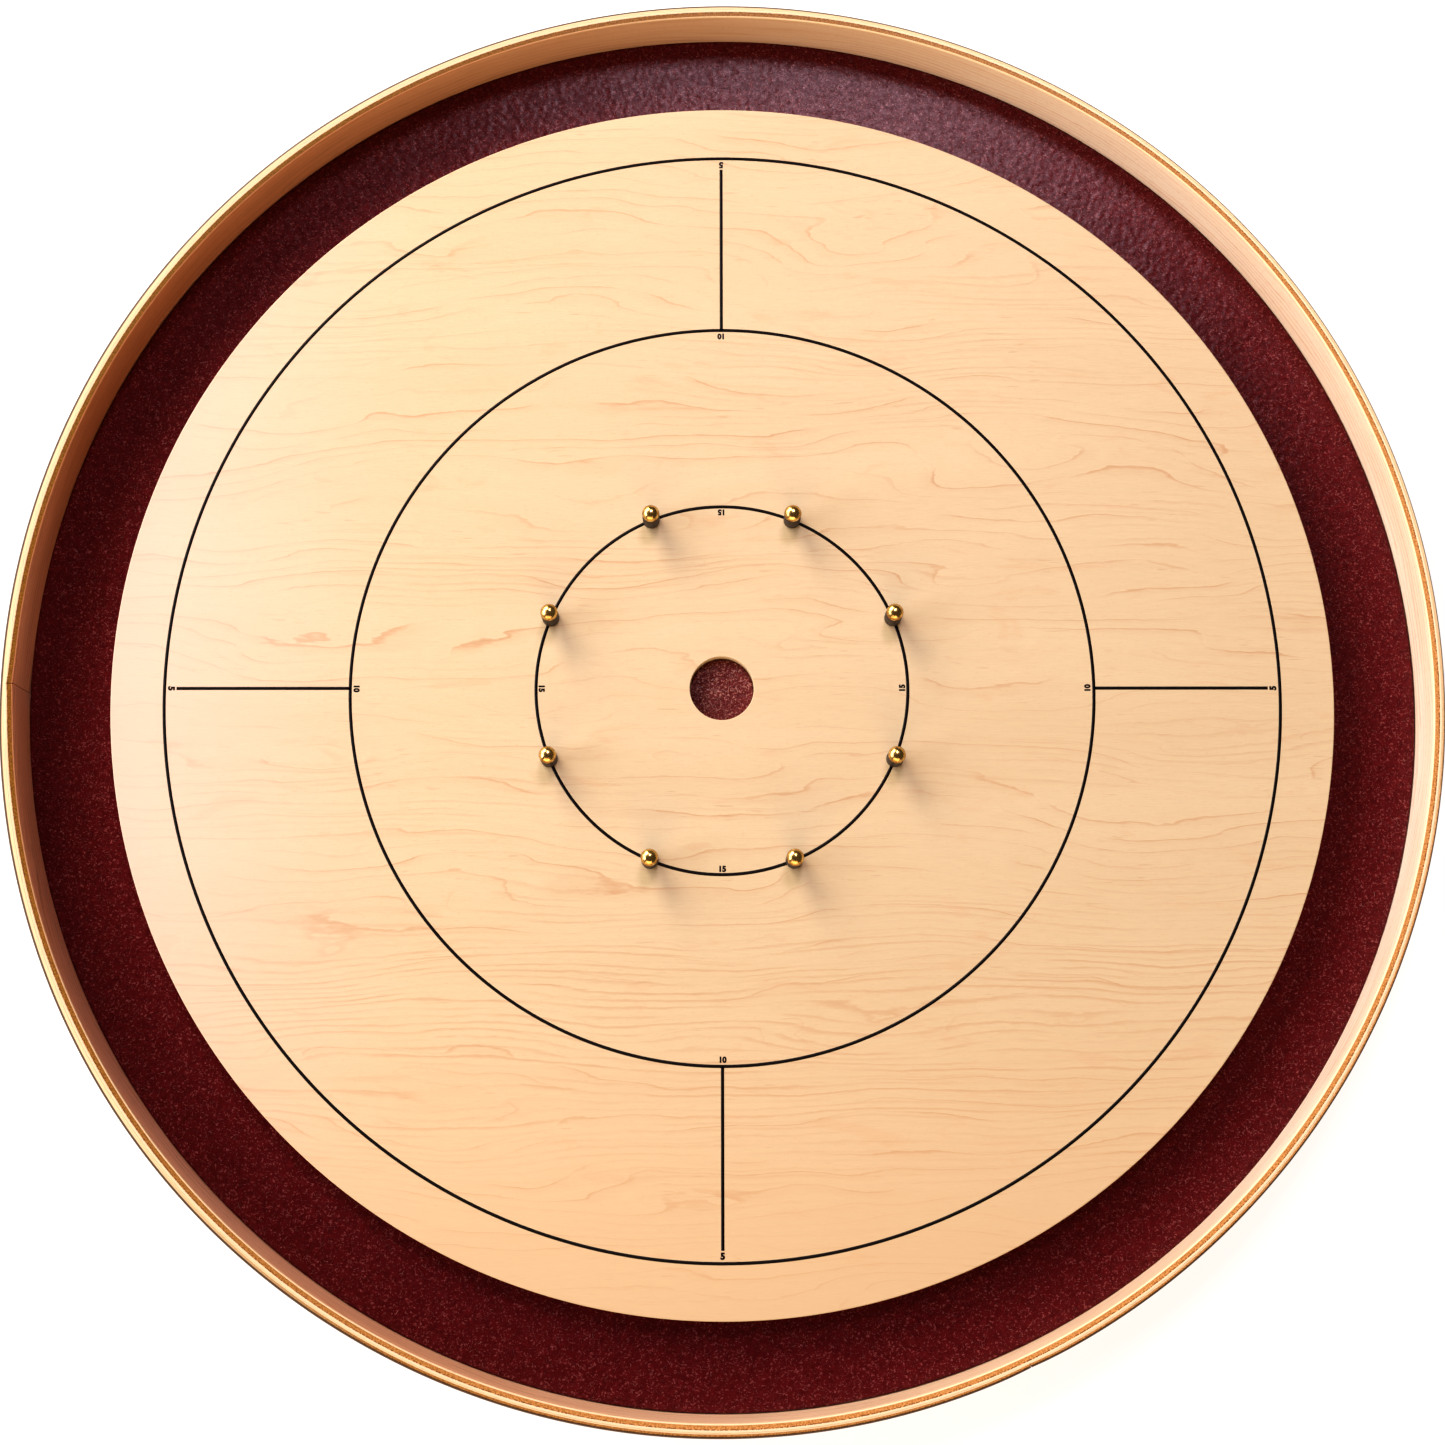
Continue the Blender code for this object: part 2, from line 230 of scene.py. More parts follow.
def make_figure_group():
    """The figure of a wood face: growth lines that wander and close in loops, flecks and fibre.

    The grain runs along X of the vector, in metres.
    """
    tree, start, end = node_group(
        "wood_figure",
        "ShaderNodeTree",
        [
            ("Place", VECTOR, None),
            ("Ring Spacing", FLOAT, 0.010),
            ("Loops", FLOAT, 9.0),
            ("Drift", FLOAT, 0.0),
        ],
        [(label, FLOAT) for label in ("Lines", "Tone", "Flecks", "Fibre", "Streaks", "Rows")],
    )
    get = start.outputs
    drift = add(tree, "ShaderNodeCombineXYZ", {0: get["Drift"], 1: get["Drift"]}).outputs[0]
    where = add(tree, "ShaderNodeVectorMath", {0: get["Place"], 1: drift}, operation="ADD").outputs[0]
    across = add(tree, "ShaderNodeSeparateXYZ", {0: where}).outputs[1]
    wide = noise(tree, where, (0.20, 0.062, 1.0), 1.0, 0.4, 0.25, 3.1)
    middle = noise(tree, where, (0.075, 0.020, 1.0), 1.0, 0.5, 0.2, 11.7)
    small = noise(tree, where, (0.014, 0.0040, 1.0), 2.0, 0.6, 0.0, 23.9)
    rings = maths(tree, "DIVIDE", across, get["Ring Spacing"])
    for field, amount in ((wide, get["Loops"]), (middle, 2.4), (small, 0.28)):
        rings = swayed(tree, rings, field, amount)
    year = maths(tree, "FLOOR", rings)
    season = minus(tree, rings, year)
    shading_in = times(tree, ramp(tree, season, 0.30, 0.94), 0.30)
    dark_line = maths(tree, "MULTIPLY_ADD", ramp(tree, season, 0.85, 0.95), 0.70, shading_in)
    late = times(tree, dark_line, ramp(tree, season, 0.95, 1.0, 1.0, 0.0))
    luck = add(tree, "ShaderNodeTexWhiteNoise", {"W": year}, noise_dimensions="1D").outputs[0]
    fading = ramp(tree, noise(tree, where, (0.11, 0.010, 1.0), 1.0, 0.5, 0.0, 37.3), 0.36, 0.60, 0.15, 1.0)
    strength = times(tree, maths(tree, "MULTIPLY_ADD", luck, 0.75, 0.25), fading)
    lines = times(tree, late, strength)
    broad = noise(tree, where, (0.30, 0.045, 1.0), 2.0, 0.5, 0.0, 51.1)
    tone = maths(tree, "MULTIPLY_ADD", season, 0.22, times(tree, broad, 0.78))
    fleck_field = noise(tree, where, (0.0030, 0.0007, 1.0), 1.0, 0.5, 0.0, 67.7)
    streak_field = noise(tree, where, (0.016, 0.0016, 1.0), 1.0, 0.5, 0.0, 83.3)
    streak_area = noise(tree, where, (0.060, 0.030, 1.0), 1.0, 0.5, 0.0, 97.9)
    streaks = times(tree, ramp(tree, streak_field, 0.66, 0.76), ramp(tree, streak_area, 0.50, 0.62))
    fibre = noise(tree, where, (0.010, 0.00045, 1.0), 3.0, 0.65, 0.0, 5.5)
    close_rings = maths(tree, "DIVIDE", across, ROW_SPACING)
    for field, amount in ((wide, 9.0), (middle, 2.2), (small, 0.5)):
        close_rings = swayed(tree, close_rings, field, amount)
    close_year = maths(tree, "FLOOR", close_rings)
    close_season = minus(tree, close_rings, close_year)
    close_luck = add(tree, "ShaderNodeTexWhiteNoise", {"W": close_year}, noise_dimensions="1D").outputs[0]
    darker = ramp(tree, close_season, 0.45, 0.85)
    close_line = times(tree, darker, ramp(tree, close_season, 0.85, 1.0, 1.0, 0.0))
    close_fade = noise(tree, where, (0.07, 0.006, 1.0), 1.0, 0.5, 0.0, 41.9)
    close_fade = ramp(tree, close_fade, 0.36, 0.56, 0.15, 1.0)
    close_strength = times(tree, maths(tree, "MULTIPLY_ADD", close_luck, 0.7, 0.3), close_fade)
    rows = times(tree, close_line, close_strength)
    results = (lines, tone, ramp(tree, fleck_field, 0.60, 0.74), fibre, streaks, rows)
    for socket, value in zip(end.inputs, results):
        tree.links.new(value, socket)
    return tree


def make_scuff_group():
    """Fine scratches and dulled patches that handling leaves on a smooth finish."""
    tree, start, end = node_group(
        "handling_wear",
        "ShaderNodeTree",
        [("Place", VECTOR, None), ("Size", FLOAT, 1.0)],
        [("Scratches", FLOAT), ("Patches", FLOAT)],
    )
    sizes = {0: start.outputs["Place"], "Scale": start.outputs["Size"]}
    where = add(tree, "ShaderNodeVectorMath", sizes, operation="SCALE").outputs[0]
    scratches = None
    for turn, shift in ((0.5, 7.0), (2.1, 19.0), (3.9, 43.0)):
        turning = {"Vector": where, "Angle": turn}
        turned_place = add(tree, "ShaderNodeVectorRotate", turning, rotation_type="Z_AXIS").outputs[0]
        field = noise(tree, turned_place, (0.060, 0.0011, 0.060), 0.0, 0.5, 0.0, shift)
        thin = ramp(tree, maths(tree, "ABSOLUTE", minus(tree, field, 0.5)), 0.0, 0.008, 1.0, 0.0)
        area = ramp(tree, noise(tree, where, (0.05, 0.05, 0.05), 0.0, 0.5, 0.0, shift + 3.0), 0.60, 0.70)
        one = times(tree, thin, area)
        scratches = one if scratches is None else maths(tree, "MAXIMUM", scratches, one)
    patches = ramp(tree, noise(tree, where, (0.070, 0.055, 0.06), 3.0, 0.6, 0.4, 61.0), 0.35, 0.70)
    tree.links.new(scratches, end.inputs[0])
    tree.links.new(patches, end.inputs[1])
    return tree


wood_figure = make_figure_group()
handling_wear = make_scuff_group()


def finish(name, roughness, metallic=0.0, **constants):
    """A material with a Principled shader, and constants on the shader's own sockets."""
    made = bpy.data.materials.new(name)
    made.use_nodes = True
    tree = made.node_tree
    shader = tree.nodes["Principled BSDF"]
    shader.inputs["Roughness"].default_value = roughness
    shader.inputs["Metallic"].default_value = metallic
    for key, value in constants.items():
        shader.inputs[key.replace("_", " ")].default_value = value
    where = tree.nodes.new("ShaderNodeTexCoord").outputs["Object"]
    return made, tree, shader, where


def use_group(tree, group, inputs):
    """A node that runs a group, with its inputs set."""
    return add(tree, "ShaderNodeGroup", inputs, node_tree=group)


def feed(tree, shader, colour=None, roughness=None, height=None, distance=0.0001, strength=1.0):
    """Links what changes over the surface to the shader: colour, roughness and relief."""
    if colour is not None:
        tree.links.new(colour, shader.inputs["Base Color"])
    if roughness is not None:
        tree.links.new(roughness, shader.inputs["Roughness"])
    if height is not None:
        bump = add(tree, "ShaderNodeBump", {"Height": height, "Distance": distance, "Strength": strength})
        tree.links.new(bump.outputs[0], shader.inputs["Normal"])


def make_birch_face():
    """Sanded birch ply: pale tan, wide rotary-cut figure, brown flecks, scuff marks from the bench."""
    made, tree, shader, where = finish("birch_face", 0.62)
    sizes = {"Place": where, "Ring Spacing": 0.016, "Loops": 12.0, "Drift": 0.9}
    figure = use_group(tree, wood_figure, sizes)
    wear = use_group(tree, handling_wear, {"Place": where})
    colour = blend_colours(tree, figure.outputs["Tone"], (0.66, 0.44, 0.24), (0.80, 0.60, 0.37))
    colour = stained(tree, colour, figure.outputs["Lines"], 0.6, (0.45, 0.25, 0.11))
    colour = stained(tree, colour, figure.outputs["Flecks"], 0.4, (0.42, 0.23, 0.10))
    colour = stained(tree, colour, wear.outputs["Scratches"], 0.35, (0.86, 0.70, 0.50))
    rough = maths(tree, "MULTIPLY_ADD", wear.outputs["Patches"], 0.15, 0.52)
    feed(tree, shader, colour, rough, figure.outputs["Fibre"], 0.00012, 0.8)
    return made


base_low, base_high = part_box("base_panel")
deck_low, deck_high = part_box("playing_surface")
PILOT_RADIUS = 0.0022
SCREW_COUNT = 6
SCREW_CIRCLE = 0.235
SCREW_HEAD_RADIUS = 0.0041
SCREW_HEAD_HEIGHT = 0.0026
FOOT_COUNT = 4
FOOT_CIRCLE = 0.345
FOOT_FIRST_ANGLE = 45.0
FOOT_PILOT_DEPTH = 0.0100
EASED = 0.0006  # sanded arris

screw_places = on_circle(SCREW_CIRCLE, 0.0, SCREW_COUNT)
foot_places = on_circle(FOOT_CIRCLE, FOOT_FIRST_ANGLE, FOOT_COUNT)

panel_radius = base_high[0]
base_panel = turned(
    "base_panel_ply",
    [
        (0.0, base_high[2]),
        (panel_radius - EASED, base_high[2]),
        (panel_radius, base_high[2] - EASED),
        (panel_radius, base_low[2] + EASED),
        (panel_radius - EASED, base_low[2]),
        (0.0, base_low[2]),
    ],
    256,
)
drill(
    base_panel,
    [
        cutter_set(
            "countersinks",
            [
                (0.0, base_high[2] + EASED),
                (PILOT_RADIUS + 0.0003, base_high[2] + EASED),
                (PILOT_RADIUS + 0.0003, base_low[2] + SCREW_HEAD_HEIGHT + 0.0006),
                (SCREW_HEAD_RADIUS + 0.0009, base_low[2]),
                (SCREW_HEAD_RADIUS + 0.0012, base_low[2] - EASED),
                (0.0, base_low[2] - EASED),
            ],
            32,
            [place for _, place in screw_places],
        ),
        cutter_set(
            "foot_pilots",
            [
                (0.0, base_low[2] + FOOT_PILOT_DEPTH),
                (PILOT_RADIUS, base_low[2] + FOOT_PILOT_DEPTH - 0.0012),
                (PILOT_RADIUS, base_low[2] - EASED),
                (0.0, base_low[2] - EASED),
            ],
            24,
            [place for _, place in foot_places],
        ),
    ],
)
crisp(base_panel)
base_panel.data.materials.clear()
base_panel.data.materials.append(make_birch_face())
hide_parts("base_panel")
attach(base_panel, "board")

# ---------------------------------------------------------------------------------------------
# Playing surface. A disc of plywood faced with plain-sliced maple and coated with satin lacquer.
# Its edge is sanded round a little and shows the plies; a flat-bottomed hole is bored in the middle.

DECK_TOP = deck_high[2]
DECK_RADIUS = deck_high[0]
POCKET_RADIUS = 0.0175
POCKET_DEPTH = 0.0083
FACE_VENEER = 0.0007
PLY_COUNT = 9
PEG_COUNT = 8
PEG_CIRCLE = 0.1016
PEG_FIRST_ANGLE = 22.5
POST_RADIUS = 0.0024
POST_DEPTH = 0.0115
PEG_HOLE_RADIUS = POST_RADIUS + 0.0003
DECK_PILOT_DEPTH = 0.0095
DRILL_OVERRUN = 0.001  # the cutters stand out of the face by this much

peg_places = on_circle(PEG_CIRCLE, PEG_FIRST_ANGLE, PEG_COUNT)


def rounded(corner_radius, corner_height, size, towards_radius, towards_height, steps=4):
    """Profile points of a quarter round at a corner, from the top face round to the side."""
    points = []
    for step in range(steps + 1):
        turn = math.pi / 2 * step / steps
        points.append(
            (
                corner_radius + towards_radius * size * (1 - math.sin(turn)),
                corner_height + towards_height * size * (1 - math.cos(turn)),
            )
        )
    return points


def make_maple_face():
    """Lacquered maple: cream to peach, thin pinkish growth lines in loops, flecks, short dark streaks.

    Close rows of fine lines run across one band of the board. Towards the left the colour turns paler and
    cooler, painted window light, and towards the front it turns warmer, painted warm light.
    """
    made, tree, shader, where = finish("maple_face", 0.5, Specular_IOR_Level=0.28)
    sizes = {"Place": where, "Ring Spacing": 0.0085, "Loops": 10.0, "Drift": 0.0}
    figure = use_group(tree, wood_figure, sizes)
    wear = use_group(tree, handling_wear, {"Place": where})
    x, y, _ = add(tree, "ShaderNodeSeparateXYZ", {0: where}).outputs
    quarter_sawn = times(tree, ramp(tree, y, -0.105, -0.150), ramp(tree, y, -0.275, -0.235))
    here_and_there = noise(tree, where, (0.20, 0.040, 1.0), 1.0, 0.5, 0.0, 19.3)
    here_and_there = ramp(tree, here_and_there, 0.50, 0.62, 0.0, 0.55)
    close = maths(tree, "MAXIMUM", quarter_sawn, here_and_there)
    colour = blend_colours(tree, figure.outputs["Tone"], (0.664, 0.520, 0.332), (0.738, 0.620, 0.424))
    colour = stained(tree, colour, figure.outputs["Lines"], 0.80, (0.55, 0.310, 0.160))
    rows = times(tree, times(tree, figure.outputs["Rows"], close), 0.60)
    colour = blend_colours(tree, rows, colour, (0.55, 0.315, 0.165))
    blotches = noise(tree, where, (0.045, 0.014, 1.0), 3.0, 0.6, 0.8, 71.7)
    blotches = ramp(tree, blotches, 0.60, 0.72, 0.0, 0.30)
    colour = blend_colours(tree, blotches, colour, (0.66, 0.42, 0.25))
    colour = stained(tree, colour, figure.outputs["Flecks"], 0.22, (0.64, 0.37, 0.18))
    colour = stained(tree, colour, figure.outputs["Streaks"], 0.30, (0.50, 0.27, 0.13))
    fibre = ramp(tree, figure.outputs["Fibre"], 0.25, 0.75)
    colour = stained(tree, colour, fibre, 0.15, (1.0, 0.86, 0.62))
    # Painted window light: the deck turns paler and cooler towards the left.
    colour = blend_colours(tree, ramp(tree, x, -0.14, -0.40, 0.0, 0.60), colour, (0.745, 0.635, 0.600))
    # Painted warm light: the deck turns warmer and more orange towards the front.
    colour = blend_colours(tree, ramp(tree, y, -0.10, -0.36, 0.0, 0.55), colour, (0.760, 0.535, 0.315))
    rough = maths(tree, "MULTIPLY_ADD", wear.outputs["Patches"], 0.05, 0.48)
    rough = maths(tree, "MULTIPLY_ADD", wear.outputs["Scratches"], 0.10, rough)
    feed(tree, shader, colour, rough, figure.outputs["Fibre"], 0.00002, 0.5)
    return made


def make_deck_edge():
    """The sawn edge of the plies: long grain and end grain by turns, in layers through the thickness."""
    made, tree, shader, where = finish("deck_edge_plies", 0.55)
    x, y, z = add(tree, "ShaderNodeSeparateXYZ", {0: where}).outputs
    ply_thickness = (DECK_TOP - deck_low[2]) / PLY_COUNT
    level = maths(tree, "DIVIDE", minus(tree, z, deck_low[2]), ply_thickness)
    level = swayed(tree, level, noise(tree, where, (0.08, 0.08, 0.01), 1.0, 0.5, 0.0, 3.0), 0.25)
    ply = maths(tree, "FLOOR", level)
    odd = maths(tree, "MODULO", ply, 2.0)
    within = minus(tree, level, ply)
    glue = maths(tree, "MAXIMUM", ramp(tree, within, 0.0, 0.08, 1.0, 0.0), ramp(tree, within, 0.92, 1.0))
    away = maths(tree, "SQRT", maths(tree, "MULTIPLY_ADD", x, x, times(tree, y, y)))
    facing = maths(tree, "ABSOLUTE", maths(tree, "DIVIDE", x, away))
    end_grain = maths(tree, "ABSOLUTE", minus(tree, odd, facing))
    pores = ramp(tree, noise(tree, where, (0.0005, 0.0005, 0.0005), 1.0, 0.5, 0.0, 9.0), 0.56, 0.70)
    rays = noise(tree, where, (0.0030, 0.0030, 0.0003), 2.0, 0.6, 0.0, 17.0)
    colour = blend_colours(tree, rays, (0.70, 0.46, 0.24), (0.90, 0.70, 0.45))
    ends = blend_colours(tree, pores, (0.56, 0.33, 0.15), (0.28, 0.14, 0.06))
    colour = stained(tree, colour, end_grain, 0.85, ends)
    colour = stained(tree, colour, glue, 0.55, (0.24, 0.12, 0.05))
    height = minus(tree, rays, maths(tree, "ADD", glue, pores))
    feed(tree, shader, colour, None, height, 0.00008, 0.8)
    return made


deck_profile = (
    [(0.0, DECK_TOP - POCKET_DEPTH), (POCKET_RADIUS, DECK_TOP - POCKET_DEPTH)]
    + rounded(POCKET_RADIUS, DECK_TOP, 0.0003, 1.0, -1.0)[::-1]
    + rounded(DECK_RADIUS, DECK_TOP, 0.0005, -1.0, -1.0)
    + rounded(DECK_RADIUS, deck_low[2], 0.0004, -1.0, 1.0, 2)[::-1]
    + [(0.0, deck_low[2])]
)
deck = turned("playing_disc", deck_profile, 480)
drill(
    deck,
    [
        cutter_set(
            "peg_holes",
            [
                (0.0, DECK_TOP + DRILL_OVERRUN),
                (PEG_HOLE_RADIUS, DECK_TOP + DRILL_OVERRUN),
                (PEG_HOLE_RADIUS, DECK_TOP - POST_DEPTH),
                (0.0, DECK_TOP - POST_DEPTH - 0.0003),
            ],
            32,
            [place for _, place in peg_places],
        ),
        cutter_set(
            "deck_pilots",
            [
                (0.0, deck_low[2] + DECK_PILOT_DEPTH),
                (PILOT_RADIUS, deck_low[2] + DECK_PILOT_DEPTH - 0.0013),
                (PILOT_RADIUS, deck_low[2] - DRILL_OVERRUN),
                (0.0, deck_low[2] - DRILL_OVERRUN),
            ],
            24,
            [place for _, place in screw_places],
        ),
    ],
)
crisp(deck)
deck.data.materials.clear()
deck.data.materials.append(make_maple_face())
deck.data.materials.append(make_deck_edge())
for face in deck.data.polygons:
    veneer = face.center.z > DECK_TOP - FACE_VENEER or face.center.z < deck_low[2] + 0.0002
    in_pocket = face.center.xy.length < POCKET_RADIUS + 0.001
    face.material_index = 0 if veneer or in_pocket else 1
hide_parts("playing_surface")
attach(deck, "board")

# ---------------------------------------------------------------------------------------------
# Printed lines. Black-brown ink, screen printed on the lacquer: three scoring circles of 8, 16 and
# 24 inches, four quadrant lines, and the scores 5, 10 and 15 read from each of the four sides.

LINE_WIDTH = 0.0017
INK_THICKNESS = 0.00005
INK_SUNK = 0.00004
INK_LIFT = 0.000005
SCORING_RADII = (0.1016, 0.2032, 0.3048)
QUADRANT_START = 0.2032
QUADRANT_END = 0.2982
NUMBER_WEIGHT = 0.06  # how far a numeral's strokes are fattened, as a share of the font's size


def make_line_tree():
    """Flat bands of ink: a circle of each radius, and straight lines set out like spokes."""
    tree, start, end = node_group(
        "printed_bands",
        "GeometryNodeTree",
        [
            ("Radius", FLOAT, 0.1),
            ("Spokes", "NodeSocketInt", 0),
            ("Spoke Start", FLOAT, 0.0),
            ("Spoke End", FLOAT, 0.0),
            ("Band", FLOAT, LINE_WIDTH),
            ("Height", FLOAT, 0.0),
            ("Thickness", FLOAT, INK_THICKNESS),
            ("Ink", "NodeSocketMaterial", None),
        ],
        [("Geometry", "NodeSocketGeometry")],
    )
    get = start.outputs
    circle = add(tree, "GeometryNodeCurvePrimitiveCircle", {"Resolution": 384, "Radius": get["Radius"]})
    near = add(tree, "ShaderNodeCombineXYZ", {0: get["Spoke Start"]}).outputs[0]
    far = add(tree, "ShaderNodeCombineXYZ", {0: get["Spoke End"]}).outputs[0]
    spoke = add(tree, "GeometryNodeCurvePrimitiveLine", {"Start": near, "End": far})
    spots = add(tree, "GeometryNodePoints", {"Count": get["Spokes"]}).outputs[0]
    index = add(tree, "GeometryNodeInputIndex").outputs[0]
    spoke_count = maths(tree, "MAXIMUM", get["Spokes"], 1.0)
    turn = maths(tree, "DIVIDE", times(tree, index, math.tau), spoke_count)
    rotation = add(tree, "ShaderNodeCombineXYZ", {2: turn}).outputs[0]
    spokes = add(
        tree,
        "GeometryNodeInstanceOnPoints",
        {"Points": spots, "Instance": spoke.outputs[0], "Rotation": rotation},
    )
    real = add(tree, "GeometryNodeRealizeInstances", {0: spokes.outputs[0]})
    paths = tree.nodes.new("GeometryNodeJoinGeometry")
    tree.links.new(circle.outputs[0], paths.inputs[0])
    tree.links.new(real.outputs[0], paths.inputs[0])
    section = add(
        tree, "GeometryNodeCurvePrimitiveQuadrilateral", {"Width": get["Band"], "Height": get["Thickness"]}
    )
    flat = add(tree, "GeometryNodeSetCurveNormal", {0: paths.outputs[0]}, mode="Z_UP")
    bands = add(
        tree,
        "GeometryNodeCurveToMesh",
        {"Curve": flat.outputs[0], "Profile Curve": section.outputs[0], "Fill Caps": True},
    )
    lift = add(tree, "ShaderNodeCombineXYZ", {2: get["Height"]}).outputs[0]
    moved = add(tree, "GeometryNodeTransform", {"Geometry": bands.outputs[0], "Translation": lift})
    whole = add(tree, "GeometryNodeRealizeInstances", {0: moved.outputs[0]})
    inked = add(tree, "GeometryNodeSetMaterial", {"Geometry": whole.outputs[0], "Material": get["Ink"]})
    tree.links.new(inked.outputs[0], end.inputs[0])
    return tree


def grow(piece, tree, values):
    """Runs a Geometry Nodes tree on the piece and keeps the result as a plain mesh."""
    modifier = piece.modifiers.new(tree.name, "NODES")
    modifier.node_group = tree
    for item in tree.interface.items_tree:
        if item.item_type == "SOCKET" and item.in_out == "INPUT" and item.name in values:
            modifier[item.identifier] = values[item.name]
    make_plain(piece)


def empty_piece(name):
    """A piece with no shape yet, for a tree that makes its own."""
    return put_in_scene(name, bpy.data.meshes.new(name))


def make_ink():
    """Screen ink: near black with a warm cast, a little thin and grey where the mesh left pinholes."""
    made, tree, shader, where = finish("printing_ink", 0.5, Specular_IOR_Level=0.2)
    pinholes = ramp(tree, noise(tree, where, (0.0006, 0.0006, 0.0006), 2.0, 0.6, 0.0, 29.0), 0.62, 0.80)
    cloud = noise(tree, where, (0.030, 0.030, 0.030), 2.0, 0.5, 0.0, 31.0)
    colour = blend_colours(tree, cloud, (0.0035, 0.0020, 0.0018), (0.0080, 0.0045, 0.0035))
    colour = stained(tree, colour, pinholes, 0.16, (0.12, 0.07, 0.04))
    rough = maths(tree, "MULTIPLY_ADD", pinholes, 0.2, 0.42)
    feed(tree, shader, colour, rough, minus(tree, 1.0, pinholes), 0.00003, 0.6)
    return made


ink = make_ink()
band_tree = make_line_tree()
ink_middle = DECK_TOP - INK_SUNK + (INK_THICKNESS + INK_SUNK) / 2 + INK_LIFT
for label, radius in zip(("8in", "16in", "24in"), SCORING_RADII):
    circle = empty_piece(f"printed_circle_{label}")
    values = {
        "Radius": radius,
        "Spokes": 4 if radius == SCORING_RADII[1] else 0,
        "Spoke Start": QUADRANT_START,
        "Spoke End": QUADRANT_END,
        "Band": LINE_WIDTH,
        "Height": ink_middle,
        "Thickness": INK_THICKNESS + INK_SUNK,
        "Ink": ink,
    }
    grow(circle, band_tree, values)
    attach(circle, "board")


def printed_number(text, name, size, foot_radius):
    """A bold number on each of the four sides, its top towards the middle of the board."""
    points, faces = [], []
    for quarter in range(4):
        curve = bpy.data.curves.new(name, "FONT")
        curve.body = text
        curve.align_x = "CENTER"
        curve.size = 1.0
        curve.extrude = 0.5
        curve.offset = NUMBER_WEIGHT
        curve.resolution_u = 6
        letters = put_in_scene(name, curve)
        depsgraph = bpy.context.evaluated_depsgraph_get()
        shape = bpy.data.meshes.new_from_object(letters.evaluated_get(depsgraph))
        low = min(vertex.co.y for vertex in shape.vertices)
        tall = max(vertex.co.y for vertex in shape.vertices) - low
        scale = size / tall
        turn = Matrix.Rotation(quarter * math.pi / 2 + math.pi / 2, 4, "Z")
        first = len(points)
        for x, y, z in (vertex.co for vertex in shape.vertices):
            height = ink_middle + z * (INK_THICKNESS + INK_SUNK)
            points.append(tuple(turn @ Vector((x * scale, (y - low) * scale - foot_radius, height))))
        faces += [tuple(first + index for index in face.vertices) for face in shape.polygons]
        bpy.data.objects.remove(letters)
        bpy.data.curves.remove(curve)
        bpy.data.meshes.remove(shape)
    mesh = mesh_of(name, points, faces)
    mesh.materials.append(ink)
    piece = put_in_scene(name, mesh)
    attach(piece, "board")


for text, size, foot_radius in (("5", 0.0038, 0.30290), ("10", 0.0034, 0.20140), ("15", 0.0034, 0.10020)):
    printed_number(text, f"score_{text}", size, foot_radius)

# ---------------------------------------------------------------------------------------------
# Felt. A ring of burgundy wool felt glued in the ditch, and a small round of it in the middle hole.
# The cut edges are soft, the nap is uneven, and loose fibres and pale lint stand on it.

FELT_CELL = 0.00125  # size of the mesh over the nap
FELT_EDGE_DROP = 0.00035  # how far the top is pressed down at a cut edge
HOLE_CELL = 0.0005  # and over that of the small round
WAVE_HEIGHT = 0.0004
FIBRE_LENGTH = 0.0020
FIBRE_THICKNESS = 0.00013
felt_low, felt_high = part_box("ditch_felt")
hole_low, hole_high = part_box("centre_hole_felt")
DITCH_INNER = DECK_RADIUS + 0.0003


def make_felt_finish(name, deep, light, tips, bright, speck_share):
    """Pressed wool: matted curly fibres in dark wine red, lighter tips, bright specks, a soft sheen."""
    made, tree, shader, where = finish(
        name,
        0.7,
        Specular_IOR_Level=0.30,
        Specular_Tint=(1.0, 0.20, 0.26, 1.0),
        Coat_Roughness=0.27,
        Coat_IOR=1.45,
    )
    strands = None
    for size, shift in ((0.0017, 2.0), (0.0012, 13.0)):
        field = noise(tree, where, (size, size, size), 2.0, 0.6, 2.2, shift)
        off_middle = maths(tree, "ABSOLUTE", minus(tree, field, 0.5))
        thin = ramp(tree, off_middle, 0.0, 0.07, 1.0, 0.0)
        strands = thin if strands is None else maths(tree, "MAXIMUM", strands, thin)
    matting = noise(tree, where, (0.0034, 0.0034, 0.0034), 3.0, 0.7, 0.5, 21.0)
    matting = ramp(tree, matting, 0.30, 0.70)
    clouds = noise(tree, where, (0.035, 0.035, 0.035), 2.0, 0.5, 0.0, 33.0)
    specks = noise(tree, where, (0.0011, 0.0011, 0.0011), 1.0, 0.6, 0.8, 45.0)
    specks = ramp(tree, specks, 0.66 - 0.16 * speck_share, 0.74 - 0.16 * speck_share)
    colour = blend_colours(tree, matting, deep, light)
    colour = stained(tree, colour, strands, 0.50, tips)
    colour = stained(tree, colour, clouds, 0.25, deep)
    colour = stained(tree, colour, specks, 0.80, bright)
    shine = maths(tree, "MULTIPLY_ADD", times(tree, strands, matting), 0.52, 0.28)
    shine = maths(tree, "MULTIPLY_ADD", specks, 0.15, shine, clamp=True)
    tree.links.new(shine, shader.inputs["Coat Weight"])
    height = maths(tree, "MULTIPLY_ADD", strands, 0.5, matting)
    feed(tree, shader, colour, None, height, 0.0005, 1.0)
    return made


